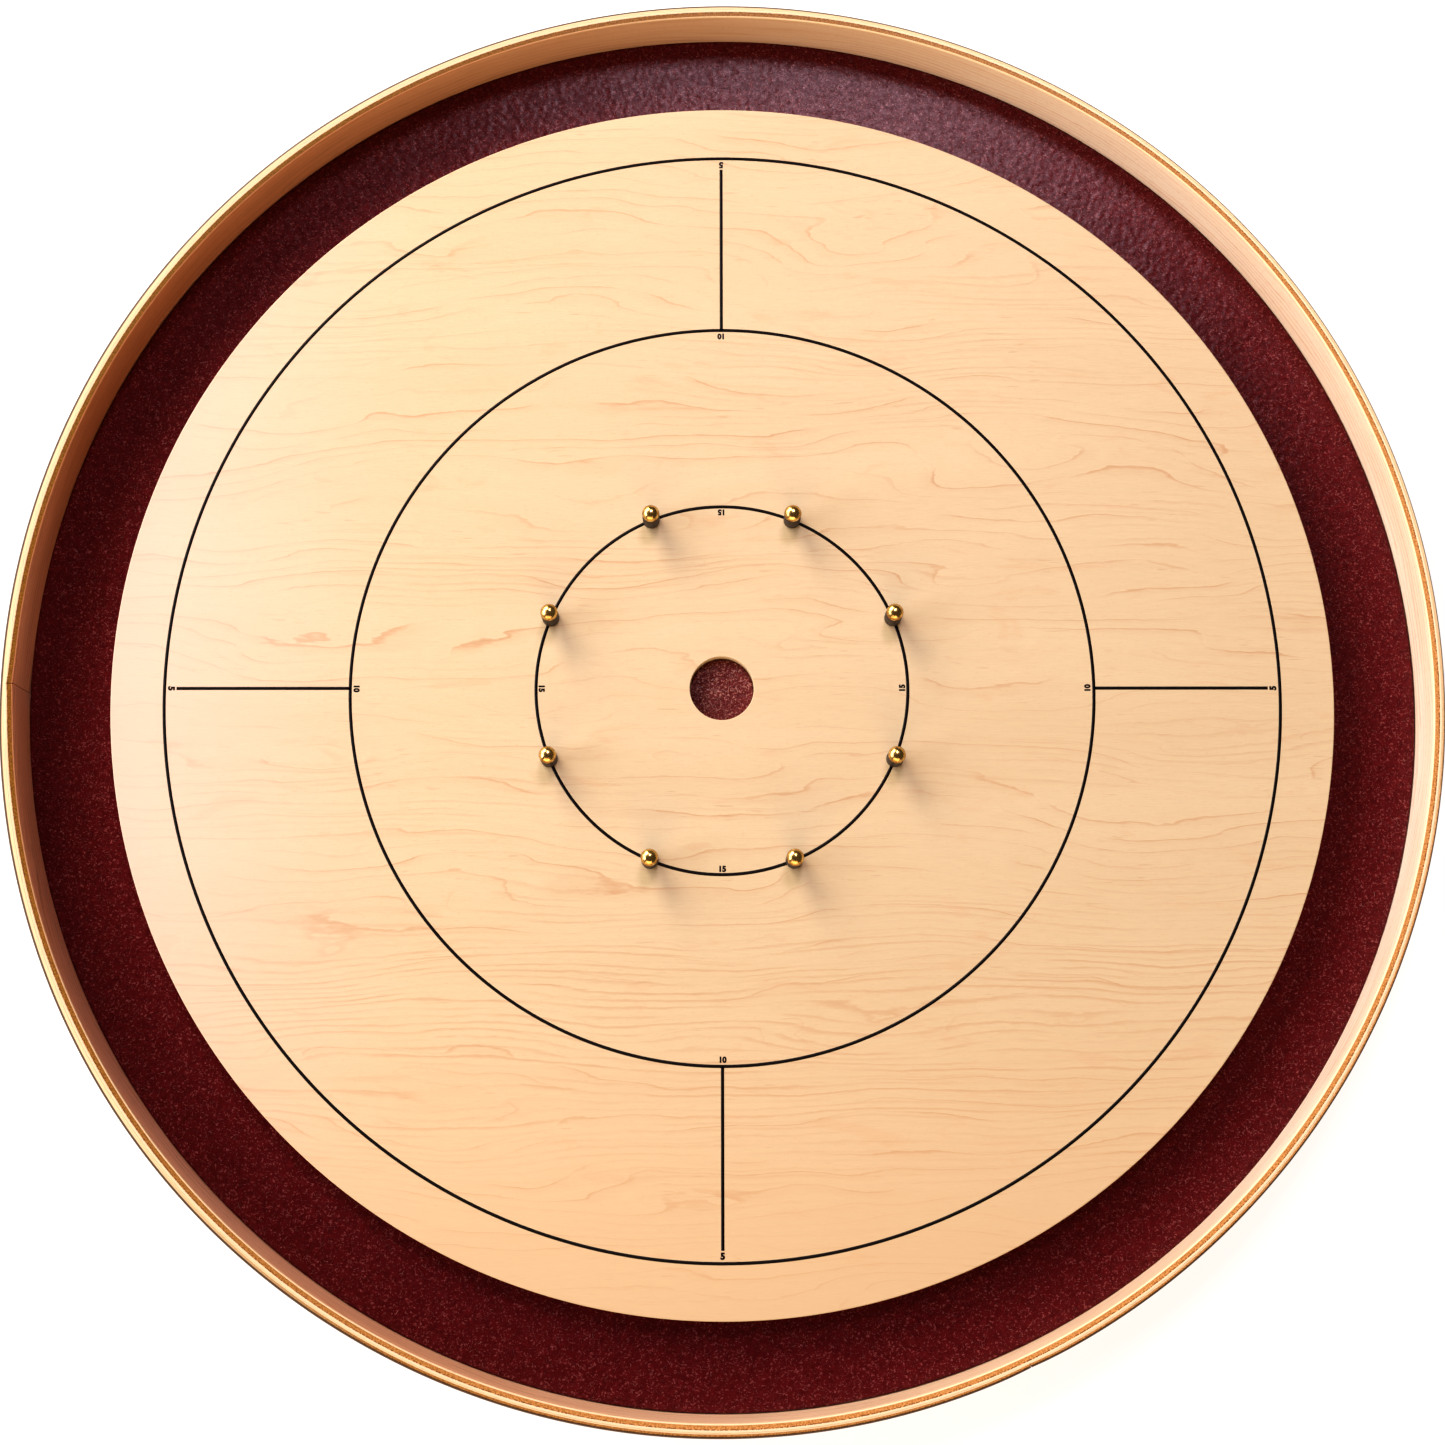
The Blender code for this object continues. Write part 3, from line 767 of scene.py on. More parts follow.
def make_nap_tree():
    """Lifts and lowers the top of the felt: matted tufts on slow waves."""
    tree, start, end = node_group(
        "felt_nap",
        "GeometryNodeTree",
        [
            ("Geometry", "NodeSocketGeometry", None),
            ("Top", FLOAT, 0.0),
            ("Tuft Size", FLOAT, 0.002),
            ("Tuft Height", FLOAT, 0.0002),
            ("Wave Height", FLOAT, 0.0002),
        ],
        [("Geometry", "NodeSocketGeometry")],
    )
    get = start.outputs
    place = add(tree, "GeometryNodeInputPosition").outputs[0]
    z = add(tree, "ShaderNodeSeparateXYZ", {0: place}).outputs[2]
    upper = maths(tree, "GREATER_THAN", z, minus(tree, get["Top"], 0.0004))
    closeness = maths(tree, "DIVIDE", 1.0, get["Tuft Size"])
    fine = {"Vector": place, "Scale": closeness, "Detail": 3.0, "Roughness": 0.7}
    tufts = add(tree, "ShaderNodeTexNoise", fine, noise_dimensions="3D").outputs[0]
    slow = {"Vector": place, "Scale": 22.0, "Detail": 1.0}
    waves = add(tree, "ShaderNodeTexNoise", slow, noise_dimensions="3D").outputs[0]
    lift = times(tree, minus(tree, tufts, 0.5), get["Tuft Height"])
    lift = swayed(tree, lift, waves, get["Wave Height"])
    offset = add(tree, "ShaderNodeCombineXYZ", {2: times(tree, lift, upper)}).outputs[0]
    moved = add(tree, "GeometryNodeSetPosition", {"Geometry": get["Geometry"], "Offset": offset})
    tree.links.new(moved.outputs[0], end.inputs[0])
    return tree


def make_fibre_tree():
    """Short curved fibres that lie on the top of the felt in every direction."""
    tree, start, end = node_group(
        "loose_fibres",
        "GeometryNodeTree",
        [
            ("Geometry", "NodeSocketGeometry", None),
            ("Density", FLOAT, 1000.0),
            ("Length", FLOAT, 0.002),
            ("Thickness", FLOAT, 0.00008),
            ("Seed", "NodeSocketInt", 1),
            ("Fibre", "NodeSocketMaterial", None),
        ],
        [("Geometry", "NodeSocketGeometry")],
    )
    get = start.outputs
    normal = add(tree, "GeometryNodeInputNormal").outputs[0]
    up = add(tree, "ShaderNodeSeparateXYZ", {0: normal}).outputs[2]
    top = maths(tree, "GREATER_THAN", up, 0.7)
    spots = add(
        tree,
        "GeometryNodeDistributePointsOnFaces",
        {"Mesh": get["Geometry"], "Selection": top, "Density": get["Density"], "Seed": get["Seed"]},
    )
    half = times(tree, get["Length"], 0.5)
    rise = times(tree, get["Length"], 0.16)
    first = add(tree, "ShaderNodeCombineXYZ", {0: times(tree, half, -1.0)}).outputs[0]
    crown = add(tree, "ShaderNodeCombineXYZ", {1: rise, 2: rise}).outputs[0]
    last = add(tree, "ShaderNodeCombineXYZ", {0: half, 1: times(tree, rise, -0.5)}).outputs[0]
    bend = add(
        tree,
        "GeometryNodeCurveQuadraticBezier",
        {"Resolution": 4, "Start": first, "Middle": crown, "End": last},
    )
    section = add(
        tree,
        "GeometryNodeCurvePrimitiveCircle",
        {"Resolution": 3, "Radius": times(tree, get["Thickness"], 0.5)},
    )
    fibre = add(
        tree,
        "GeometryNodeCurveToMesh",
        {"Curve": bend.outputs[0], "Profile Curve": section.outputs[0], "Fill Caps": True},
    )
    turn = add(
        tree,
        "FunctionNodeRandomValue",
        {0: (-0.25, -0.25, 0.0), 1: (0.25, 0.25, math.tau), "Seed": 5},
        data_type="FLOAT_VECTOR",
    ).outputs[0]
    spread = {2: 0.5, 3: 1.4, "Seed": 9}
    size = add(tree, "FunctionNodeRandomValue", spread, data_type="FLOAT").outputs[1]
    placed = add(
        tree,
        "GeometryNodeInstanceOnPoints",
        {"Points": spots.outputs[0], "Instance": fibre.outputs[0], "Rotation": turn, "Scale": size},
    )
    spread = {2: 0.0, 3: 1.0, "Seed": 14}
    shade = add(tree, "FunctionNodeRandomValue", spread, data_type="FLOAT").outputs[1]
    marked = add(
        tree,
        "GeometryNodeStoreNamedAttribute",
        {"Geometry": placed.outputs[0], "Name": "shade", "Value": shade},
        data_type="FLOAT",
        domain="INSTANCE",
    )
    real = add(tree, "GeometryNodeRealizeInstances", {0: marked.outputs[0]})
    done = add(tree, "GeometryNodeSetMaterial", {"Geometry": real.outputs[0], "Material": get["Fibre"]})
    tree.links.new(done.outputs[0], end.inputs[0])
    return tree


def read_attribute(tree, name):
    """A number that the mesh itself carries."""
    return add(tree, "ShaderNodeAttribute", attribute_type="GEOMETRY", attribute_name=name).outputs["Fac"]


def make_fibre_finish():
    """Single wool fibres: most are wine red, some pink, a few are pale lint."""
    made, tree, shader, where = finish("wool_fibres", 0.7, Sheen_Weight=0.2)
    shade = read_attribute(tree, "shade")
    mottle = noise(tree, where, (0.0010, 0.0010, 0.0010), 1.0, 0.5, 0.0, 55.0)
    colour = blend_colours(tree, ramp(tree, shade, 0.0, 0.75), (0.14, 0.009, 0.014), (0.38, 0.060, 0.066))
    colour = blend_colours(tree, ramp(tree, shade, 0.86, 0.97), colour, (0.56, 0.30, 0.26))
    colour = stained(tree, colour, mottle, 0.4, (0.05, 0.004, 0.006))
    feed(tree, shader, colour)
    return made


nap_tree = make_nap_tree()
fibre_tree = make_fibre_tree()
wool_fibres = make_fibre_finish()


def felt_profile(inner, outer, low, high, cells):
    """The section of a piece of felt, its top side cut in cells and rounded down at the cut edges."""
    points = []
    for step in range(cells + 1):
        radius = inner + (outer - inner) * step / cells
        edge = min(radius - inner if inner else 1.0, outer - radius) / FELT_CELL
        points.append((radius, high - FELT_EDGE_DROP * max(0.0, 1.0 - edge) ** 2))
    return points + [(outer, low), (inner, low)]


ditch_cells = round((felt_high[0] - DITCH_INNER) / FELT_CELL)
ring_profile = felt_profile(DITCH_INNER, felt_high[0], felt_low[2], felt_high[2], ditch_cells)
ditch_felt = turned("ditch_felt_ring", ring_profile, 1800)
hole_cells = round(hole_high[0] / HOLE_CELL)
round_profile = felt_profile(0.0, hole_high[0], hole_low[2], hole_high[2], hole_cells)
hole_felt = turned("centre_hole_felt_round", round_profile, 240)
ditch_wool = make_felt_finish(
    "ditch_felt_wool",
    deep=(0.068, 0.0022, 0.0040),
    light=(0.165, 0.0085, 0.0125),
    tips=(0.290, 0.032, 0.040),
    bright=(0.42, 0.13, 0.13),
    speck_share=0.42,
)
hole_wool = make_felt_finish(
    "hole_felt_wool",
    deep=(0.120, 0.0080, 0.0100),
    light=(0.235, 0.0380, 0.0380),
    tips=(0.420, 0.140, 0.130),
    bright=(0.70, 0.36, 0.31),
    speck_share=0.70,
)
ditch_nap = {"Top": felt_high[2], "Tuft Size": 0.0026, "Tuft Height": 0.0008, "Wave Height": WAVE_HEIGHT}
hole_nap = {"Top": hole_high[2], "Tuft Size": 0.0016, "Tuft Height": 0.0005, "Wave Height": WAVE_HEIGHT}
for felt, node, nap, density, seed, wool, cut_size, cut_area, under in (
    (ditch_felt, "ditch_felt", ditch_nap, 70000.0, 3, ditch_wool, (0.0472, 2.25), None, base_panel),
    (hole_felt, "centre_hole_felt", hole_nap, 500000.0, 8, hole_wool, (0.0344, 0.0344), 0.00093, deck),
):
    grow(felt, nap_tree, nap)
    fibres = put_in_scene(felt.name + "_fibres", felt.data.copy())
    values = {"Density": density, "Length": FIBRE_LENGTH, "Thickness": FIBRE_THICKNESS}
    grow(fibres, fibre_tree, {**values, "Seed": seed, "Fibre": wool_fibres})
    felt.data.shade_smooth()
    felt.data.materials.clear()
    felt.data.materials.append(wool)
    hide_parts(node)
    for piece in (felt, fibres):
        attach(piece, "board")

# ---------------------------------------------------------------------------------------------
# Rim. Two three-ply strips, bent one after the other round the base into hoops and glued. Each
# ends in a butt joint; the inner one sits at the left, and its ends spring out a little there.

RIM_BANDS = (
    # piece, CAD node, inner face, thickness, joint in degrees,
    # face veneer, back veneer, inner arris, outer arris, spring at the joint
    ("rim_hoop_inner", "rim_inner_band", 0.3820, 0.0045, 180.0, 0.0007, 0.0013, 0.0008, 0.00015, 0.0011),
    ("rim_hoop_outer", "rim_outer_band", 0.3866, 0.0031, -66.0, 0.0006, 0.0008, 0.00015, 0.0007, -0.0005),
)
PLY_GROOVE = 0.00010
HOOP_STEPS = 1080
JOINT_GAP = 0.0004
SPRING_LENGTH = 0.011  # how soon the spring of the ends dies away along the hoop
RIM_BOTTOM = base_low[2]
BOTTOM_EASED = 0.0004
HALF_WIDTH = 0.39  # of the whole board, over which the painted light and shade change slowly
FLARE = 0.0006  # how far the top edge stands outside the foot of the wall, all round
LEAN = 0.0004  # and how far the hoop's top leans over to one side
OVAL = 0.0010  # and how far it is out of round
THINNED = 0.55  # the share of the outer band's thickness that is planed away where it is thinnest
THIN_ANGLE = 0.35  # where it is thinnest, in radians from X
WAVES = ((3, 0.00025, 0.7), (5, 0.00015, 2.0))  # how many round the hoop, how high, and turned how far
ARRIS_STEPS = 5
WALL_STEPS = 6
ON_GLUE = 0.00012  # half the blur of a glue line between two plies


def hoop_section(thickness, face, back, inner_round, outer_round, top):
    """The band's section as (through the thickness, height), with a fine groove at each glue line."""
    points = [(0.0, RIM_BOTTOM + (top - RIM_BOTTOM) * k / WALL_STEPS) for k in range(1, WALL_STEPS)]
    for step in range(ARRIS_STEPS + 1):
        turn = math.pi / 2 * step / ARRIS_STEPS
        points.append((inner_round * (1 - math.cos(turn)), top - inner_round * (1 - math.sin(turn))))
    for line in (face, thickness - back):
        for aside, drop in ((-ON_GLUE, 0.0), (0.0, PLY_GROOVE), (ON_GLUE, 0.00002)):
            if inner_round < line + aside < thickness - outer_round:
                points.append((line + aside, top - drop))
    for step in range(ARRIS_STEPS + 1):
        turn = math.pi / 2 * step / ARRIS_STEPS
        through = thickness - outer_round * (1 - math.sin(turn))
        points.append((through, top - outer_round * (1 - math.cos(turn))))
    points += [(thickness, top - (top - RIM_BOTTOM) * k / WALL_STEPS) for k in range(1, WALL_STEPS)]
    points += [(thickness, RIM_BOTTOM + BOTTOM_EASED), (thickness - BOTTOM_EASED, RIM_BOTTOM)]
    return points + [(BOTTOM_EASED, RIM_BOTTOM), (0.0, RIM_BOTTOM + BOTTOM_EASED)]


def make_hoop(name, inner, section, joint, peak, top, thinned):
    """The bent strip, with its own UV map of metres along and up, and its depth through the plies."""
    start, gap = math.radians(joint), JOINT_GAP / inner
    points, depths, faces, places = [], [], [], []
    for step in range(HOOP_STEPS + 1):
        share = step / HOOP_STEPS
        from_joint = min(share, 1 - share) * math.tau * inner
        angle = start + gap / 2 + share * (math.tau - gap)
        spring = peak * math.exp(-from_joint / SPRING_LENGTH)
        wander = sum(high * math.sin(many * angle + turned_by) for many, high, turned_by in WAVES)
        flare = FLARE + LEAN * math.cos(angle) + OVAL * math.sin(2 * angle)
        planed = 1.0 - thinned * (0.5 + 0.5 * math.cos(angle - THIN_ANGLE)) ** 2
        for through, height in section:
            rise = max(0.0, (height - felt_high[2]) / (top - felt_high[2]))
            radius = inner + through * planed + spring + wander + flare * rise
            points.append((radius * math.cos(angle), radius * math.sin(angle), height))
            depths.append(through)
        places.append(share * math.tau * inner)
    count = len(section)
    uvs = []
    for step in range(HOOP_STEPS):
        for i in range(count):
            after = (i + 1) % count
            a, b = step * count + i, step * count + after
            faces.append((a, a + count, b + count, b))
            low, high = section[i][1], section[after][1]
            here, next_place = places[step], places[step + 1]
            uvs += [(here, low), (next_place, low), (next_place, high), (here, high)]
    last_ring = range(HOOP_STEPS * count, (HOOP_STEPS + 1) * count)
    for cap in (tuple(range(count)), tuple(reversed(last_ring))):
        faces.append(cap)
        uvs += [(depths[index], points[index][2]) for index in cap]
    mesh = mesh_of(name, points, faces)
    layer = mesh.uv_layers.new(name="hoop")
    for loop, uv in enumerate(uvs):
        layer.data[loop].uv = uv
    depth = mesh.attributes.new("depth", "FLOAT", "POINT")
    depth.data.foreach_set("value", depths)
    return put_in_scene(name, mesh)


def toned(tree, colour, mask, tint):
    """A colour with a transparent tint over it where the mask is."""
    return blend_colours(tree, mask, colour, blend_colours(tree, 1.0, colour, tint, "MULTIPLY"))


def make_hoop_finish(name, length, thickness, face, back, top, drift, dark_sides):
    """Lacquered bent ply: pale veneers with figure along the hoop, golden cross-grain core on the edge.

    Painted shade makes the walls darker and redder near the inner band's joint at the left and along one
    stretch, the core and face veneer on the edge darker on the left, and a line round the outer arris dark;
    the outer face is painted darker where lit and paler where shaded, and one stretch of the hoop is tinted
    warmer.
    """
    made, tree, shader, where = finish(
        name, 0.38, Specular_IOR_Level=0.30, Coat_Weight=0.08, Coat_Roughness=0.25
    )
    strip = add(tree, "ShaderNodeUVMap", uv_map="hoop").outputs[0]
    depth = read_attribute(tree, "depth")
    x, y, height = add(tree, "ShaderNodeSeparateXYZ", {0: where}).outputs
    sizes = {"Place": strip, "Ring Spacing": 0.0050, "Loops": 8.0, "Drift": drift}
    figure = use_group(tree, wood_figure, sizes)
    wear = use_group(tree, handling_wear, {"Place": where, "Size": 1.5})
    run = add(tree, "ShaderNodeSeparateXYZ", {0: strip}).outputs[0]
    along = minus(tree, maths(tree, "DIVIDE", run, length), 0.5)
    from_middle = maths(tree, "ABSOLUTE", along)
    # Painted shade: walls and grain lines turn darker and redder towards the joint, which on the inner band
    # sits at the left, away from the window light; the outer band takes about a third of it.
    joint_side_shade = ramp(tree, from_middle, 0.17, 0.45, 0.0, 1.0 if dark_sides else 0.35)
    dark_grain = blend_colours(tree, joint_side_shade, (0.90, 0.75, 0.57), (0.84, 0.42, 0.26))
    pale_grain = blend_colours(tree, joint_side_shade, (0.97, 0.88, 0.74), (0.95, 0.53, 0.36))
    veneer = blend_colours(tree, ramp(tree, figure.outputs["Tone"], 0.25, 0.75), dark_grain, pale_grain)
    line_colour = blend_colours(tree, joint_side_shade, (0.66, 0.37, 0.21), (0.40, 0.17, 0.085))
    # Painted shade: a darker stretch of the hoop, on the inner band the far wall towards the upper left.
    painted_stretch_shade = times(tree, ramp(tree, along, 0.12, 0.30), ramp(tree, along, 0.49, 0.43))
    veneer = toned(tree, veneer, painted_stretch_shade, (0.76, 0.65, 0.53))
    # Warmer, more orange along one stretch of the hoop, on the inner band the near wall.
    warm = times(tree, ramp(tree, along, -0.10, -0.17), ramp(tree, along, -0.38, -0.31))
    veneer = toned(tree, veneer, warm, (1.0, 0.89, 0.77))
    marks = maths(tree, "MAXIMUM", figure.outputs["Lines"], times(tree, figure.outputs["Rows"], 0.7))
    veneer = stained(tree, veneer, marks, 0.80, line_colour)
    veneer = stained(tree, veneer, figure.outputs["Flecks"], 0.40, line_colour)
    # Painted light and shade across the board: high towards the right and front, low towards the left and
    # back.
    rightward = times(tree, x, 0.80 / HALF_WIDTH)
    across_board = minus(tree, rightward, times(tree, y, 0.45 / HALF_WIDTH))
    lit_side = ramp(tree, across_board, -0.95, 0.95)
    grain_dots = noise(tree, where, (0.0009, 0.0009, 0.0009), 2.0, 0.6, 0.0, 71.0)
    spots = ramp(tree, grain_dots, 0.30, 0.70)
    # Painted shade on the core at the top edge: shaded colour on the left, lit colour on the right.
    shaded_core = blend_colours(tree, spots, (0.13, 0.046, 0.001), (0.28, 0.125, 0.004))
    lit_core = blend_colours(tree, spots, (0.52, 0.23, 0.060), (0.86, 0.47, 0.19))
    core = stained(tree, shaded_core, lit_side, 1.0 if dark_sides else 0.62, lit_core)
    jitter = swayed(tree, depth, grain_dots, 0.0005)
    core_end = thickness - back
    past_face = ramp(tree, jitter, face - ON_GLUE, face + ON_GLUE)
    before_back = ramp(tree, jitter, core_end - ON_GLUE, core_end + ON_GLUE, 1.0, 0.0)
    in_core = times(tree, past_face, before_back)
    from_pores = maths(tree, "ABSOLUTE", minus(tree, jitter, core_end - 0.0003))
    near_end = ramp(tree, from_pores, 0.0001, 0.0005, 1.0, 0.0)
    pores = times(tree, near_end, ramp(tree, grain_dots, 0.56, 0.44))
    core = stained(tree, core, pores, 0.75, (0.13, 0.048, 0.010))
    if not dark_sides:
        core = blend_colours(tree, ramp(tree, from_middle, 0.27, 0.37), (0.90, 0.70, 0.44), core)
    on_edge = ramp(tree, height, top - 0.0014, top - 0.0008)
    shaded_veneer = (0.60, 0.280, 0.140) if dark_sides else (0.92, 0.75, 0.50)
    lit = ramp(tree, across_board, -0.80, -0.35)
    face_edge = blend_colours(tree, lit, shaded_veneer, (0.95, 0.76, 0.48))
    edge_veneer = blend_colours(tree, ramp(tree, jitter, face, core_end), face_edge, (0.92, 0.76, 0.51))
    colour = stained(tree, veneer, on_edge, 0.85, edge_veneer)
    colour = blend_colours(tree, times(tree, in_core, on_edge), colour, core)
    if not dark_sides:
        # Painted shadow: a dark line round the outer arris of the outer band.
        edge_shadow_line = ramp(tree, depth, thickness - 0.0015, thickness - 0.0011)
        edge_shadow_line = times(tree, edge_shadow_line, ramp(tree, height, top - 0.0018, top - 0.0010))
        colour = stained(tree, colour, edge_shadow_line, 0.90, (0.055, 0.028, 0.018))
        # Amber outer face, with painted shade on the window-lit left and painted light on the shaded right,
        # set against the lighting.
        outside = ramp(tree, depth, thickness - 0.0002, thickness - 0.0001)
        outside = times(tree, outside, ramp(tree, height, top - 0.0010, top - 0.0016))
        amber = blend_colours(tree, lit_side, (0.36, 0.27, 0.18), (0.66, 0.52, 0.38))
        colour = toned(tree, colour, outside, amber)
    rough = maths(tree, "MULTIPLY_ADD", wear.outputs["Patches"], 0.08, 0.33)
    rough = maths(tree, "MULTIPLY_ADD", times(tree, in_core, on_edge), 0.15, rough)
    relief = minus(tree, figure.outputs["Fibre"], wear.outputs["Scratches"])
    feed(tree, shader, colour, rough, relief, 0.00004, 0.6)
    return made


for number, band in enumerate(RIM_BANDS):
    name, node, inner, thickness, joint, face, back, inner_round, outer_round, peak = band
    rim_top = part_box(node)[1][2]
    section = hoop_section(thickness, face, back, inner_round, outer_round, rim_top)
    hoop = make_hoop(name, inner, section, joint, peak, rim_top, THINNED * number)
    crisp(hoop, 50.0)
    length, drift = math.tau * inner, 2.7 + 3.3 * number
    ply = make_hoop_finish(name + "_ply", length, thickness, face, back, rim_top, drift, number == 0)
    hoop.data.materials.append(ply)
    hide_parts(node)
    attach(hoop, "board")

# ---------------------------------------------------------------------------------------------
# Pegs. Eight brass posts with a polished domed head, pressed into the disc on the smallest circle.
# Each wears a length of black rubber tube that can turn on it and takes the knocks.

HEAD_RADIUS = 0.0047
HEAD_EQUATOR = 0.0177
HEAD_DOME = 0.0040
HEAD_BOTTOM = 0.0170
BUMPER_RADIUS = 0.00465
BUMPER_BORE = 0.00248
BUMPER_TOP = 0.0167
BUMPER_BOTTOM = 0.0002


def make_circle_tree():
    """Copies of the piece's mesh, evenly round a circle about Z and turned to face outwards."""
    tree, start, end = node_group(
        "set_on_circle",
        "GeometryNodeTree",
        [
            ("Geometry", "NodeSocketGeometry", None),
            ("Count", "NodeSocketInt", 1),
            ("Radius", FLOAT, 0.1),
            ("First Angle", FLOAT, 0.0),
            ("Height", FLOAT, 0.0),
            ("Finish", "NodeSocketMaterial", None),
        ],
        [("Geometry", "NodeSocketGeometry")],
    )
    get = start.outputs
    index = add(tree, "GeometryNodeInputIndex").outputs[0]
    step = maths(tree, "DIVIDE", math.tau, get["Count"])
    angle = maths(tree, "MULTIPLY_ADD", index, step, get["First Angle"])
    x = times(tree, maths(tree, "COSINE", angle), get["Radius"])
    y = times(tree, maths(tree, "SINE", angle), get["Radius"])
    place = add(tree, "ShaderNodeCombineXYZ", {0: x, 1: y, 2: get["Height"]}).outputs[0]
    spots = add(tree, "GeometryNodePoints", {"Count": get["Count"], "Position": place})
    rotation = add(tree, "ShaderNodeCombineXYZ", {2: angle}).outputs[0]
    copies = add(
        tree,
        "GeometryNodeInstanceOnPoints",
        {"Points": spots.outputs[0], "Instance": get["Geometry"], "Rotation": rotation},
    )
    real = add(tree, "GeometryNodeRealizeInstances", {0: copies.outputs[0]})
    done = add(tree, "GeometryNodeSetMaterial", {"Geometry": real.outputs[0], "Material": get["Finish"]})
    tree.links.new(done.outputs[0], end.inputs[0])
    return tree


circle_tree = make_circle_tree()


def set_round(piece, count, radius, first_angle, height, material):
    """Sets copies of a piece round a circle, as one plain mesh."""
    values = {
        "Count": count,
        "Radius": radius,
        "First Angle": math.radians(first_angle),
        "Height": height,
        "Finish": material,
    }
    grow(piece, circle_tree, values)
    crisp(piece)


def make_brass():
    """Polished brass: warm yellow, faint turning marks round the head, blotchy amber tarnish, and painted
    shade as darker amber low on the dome.
    """
    made, tree, shader, where = finish("polished_brass_finish", 0.2, 1.0)
    wear = use_group(tree, handling_wear, {"Place": where, "Size": 8.0})
    z = add(tree, "ShaderNodeSeparateXYZ", {0: where}).outputs[2]
    tarnish = noise(tree, where, (0.0022, 0.0022, 0.0022), 3.0, 0.6, 0.6, 15.0)
    # Painted shade: darker amber low on the dome and round its edge, where the head reflects shade;
    # blotched tarnish lies over the rest too.
    low = ramp(tree, z, DECK_TOP + 0.0172, DECK_TOP + 0.0206, 1.0, 0.0)
    blotched = ramp(tree, tarnish, 0.32, 0.62)
    amount = maths(tree, "MULTIPLY", maths(tree, "ADD", low, 0.45), blotched, clamp=True)
    colour = blend_colours(tree, amount, (0.86, 0.64, 0.26), (0.34, 0.16, 0.030))
    rough = maths(tree, "MULTIPLY_ADD", tarnish, 0.34, 0.06)
    rough = maths(tree, "MULTIPLY_ADD", wear.outputs["Scratches"], 0.15, rough)
    rings = noise(tree, where, (0.02, 0.02, 0.00012), 1.0, 0.5, 0.0, 27.0)
    feed(tree, shader, colour, rough, maths(tree, "ADD", rings, tarnish), 0.00006, 0.8)
    return made


def make_bumper_rubber():
    """Black rubber tube: brown-black, matt, with fine pits, drawn lines and a dusty bloom."""
    made, tree, shader, where = finish("bumper_tube_rubber", 0.6)
    pits = noise(tree, where, (0.0005, 0.0005, 0.0005), 2.0, 0.6, 0.0, 35.0)
    drawn = noise(tree, where, (0.0004, 0.0004, 0.0080), 2.0, 0.6, 0.0, 47.0)
    bloom = noise(tree, where, (0.0035, 0.0035, 0.0050), 2.0, 0.5, 0.0, 59.0)
    colour = blend_colours(tree, bloom, (0.014, 0.010, 0.010), (0.046, 0.033, 0.030))
    colour = blend_colours(tree, ramp(tree, pits, 0.58, 0.72), colour, (0.11, 0.085, 0.075))
    rough = maths(tree, "MULTIPLY_ADD", drawn, 0.3, 0.42)
    feed(tree, shader, colour, rough, maths(tree, "ADD", pits, drawn), 0.00008, 0.7)
    return made


head_profile = [(0.0, HEAD_EQUATOR + HEAD_DOME)]
for step in range(1, 17):
    turn = math.radians(90.0 * (1 - step / 16))
    head_profile.append((HEAD_RADIUS * math.cos(turn), HEAD_EQUATOR + HEAD_DOME * math.sin(turn)))
post_profile = head_profile + [
    (HEAD_RADIUS - 0.00004, HEAD_EQUATOR - 0.00022),
    (HEAD_RADIUS - 0.00014, HEAD_EQUATOR - 0.00045),
    (HEAD_RADIUS - 0.00032, HEAD_BOTTOM + 0.00008),
    (HEAD_RADIUS - 0.0005, HEAD_BOTTOM),
    (POST_RADIUS + 0.00025, HEAD_BOTTOM),
    (POST_RADIUS + 0.00005, HEAD_BOTTOM - 0.00008),
    (POST_RADIUS, HEAD_BOTTOM - 0.0003),
    (POST_RADIUS, 0.0006 - POST_DEPTH),
    (POST_RADIUS - 0.0006, -POST_DEPTH),
    (0.0, -POST_DEPTH),
]
posts = turned("brass_peg_posts", post_profile, 64)
set_round(posts, PEG_COUNT, PEG_CIRCLE, PEG_FIRST_ANGLE, DECK_TOP, make_brass())
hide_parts(*[f"peg_post_{i}" for i in range(1, PEG_COUNT + 1)])
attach(posts, "board")

bumper_profile = []
for radius, height, size, outward, upward in (
    (BUMPER_BORE, BUMPER_TOP, 0.0002, 1.0, -1.0),
    (BUMPER_RADIUS, BUMPER_TOP, 0.0005, -1.0, -1.0),
    (BUMPER_RADIUS, BUMPER_BOTTOM, 0.0004, -1.0, 1.0),
    (BUMPER_BORE, BUMPER_BOTTOM, 0.0002, 1.0, 1.0),
):
    corner = rounded(radius, height, size, outward, upward)
    bumper_profile += corner if outward == upward else corner[::-1]
bumper_rubber = make_bumper_rubber()
for i in range(1, PEG_COUNT + 1):
    bumper = turned(f"rubber_bumper_{i}", bumper_profile, 64)
    angle = PEG_FIRST_ANGLE + 360.0 * (i - 1) / PEG_COUNT
    set_round(bumper, 1, PEG_CIRCLE, angle, DECK_TOP, bumper_rubber)
    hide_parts(f"peg_bumper_{i}")
    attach(bumper, f"bumper_{i}")

# ---------------------------------------------------------------------------------------------
# Screws and feet. Six countersunk wood screws hold the disc to the base from below. Four moulded
# rubber feet stand under the edge, each held by a pan-head screw sunk in its recess.

THREAD_PITCH = 0.0014
THREAD_ROOT = 0.00145
THREAD_CREST = 0.0019
THREAD_STEPS = 20  # for each turn of the thread
BARE_POINT = 0.0012  # left without thread
POINT_LENGTH = 0.004
DRIVE_HALF = 0.00115
DECK_SCREW_LENGTH = 0.0215
FOOT_HEIGHT = 0.0057
FOOT_RADIUS = 0.011
FOOT_TAPER = 0.0012
FOOT_RECESS_RADIUS = 0.0056
FOOT_RECESS_DEPTH = 0.0034
FOOT_HOLE_RADIUS = 0.0022
PAN_HEAD_RADIUS = 0.0042
PAN_HEAD_HEIGHT = 0.0020
FOOT_SCREW_LENGTH = 0.0115


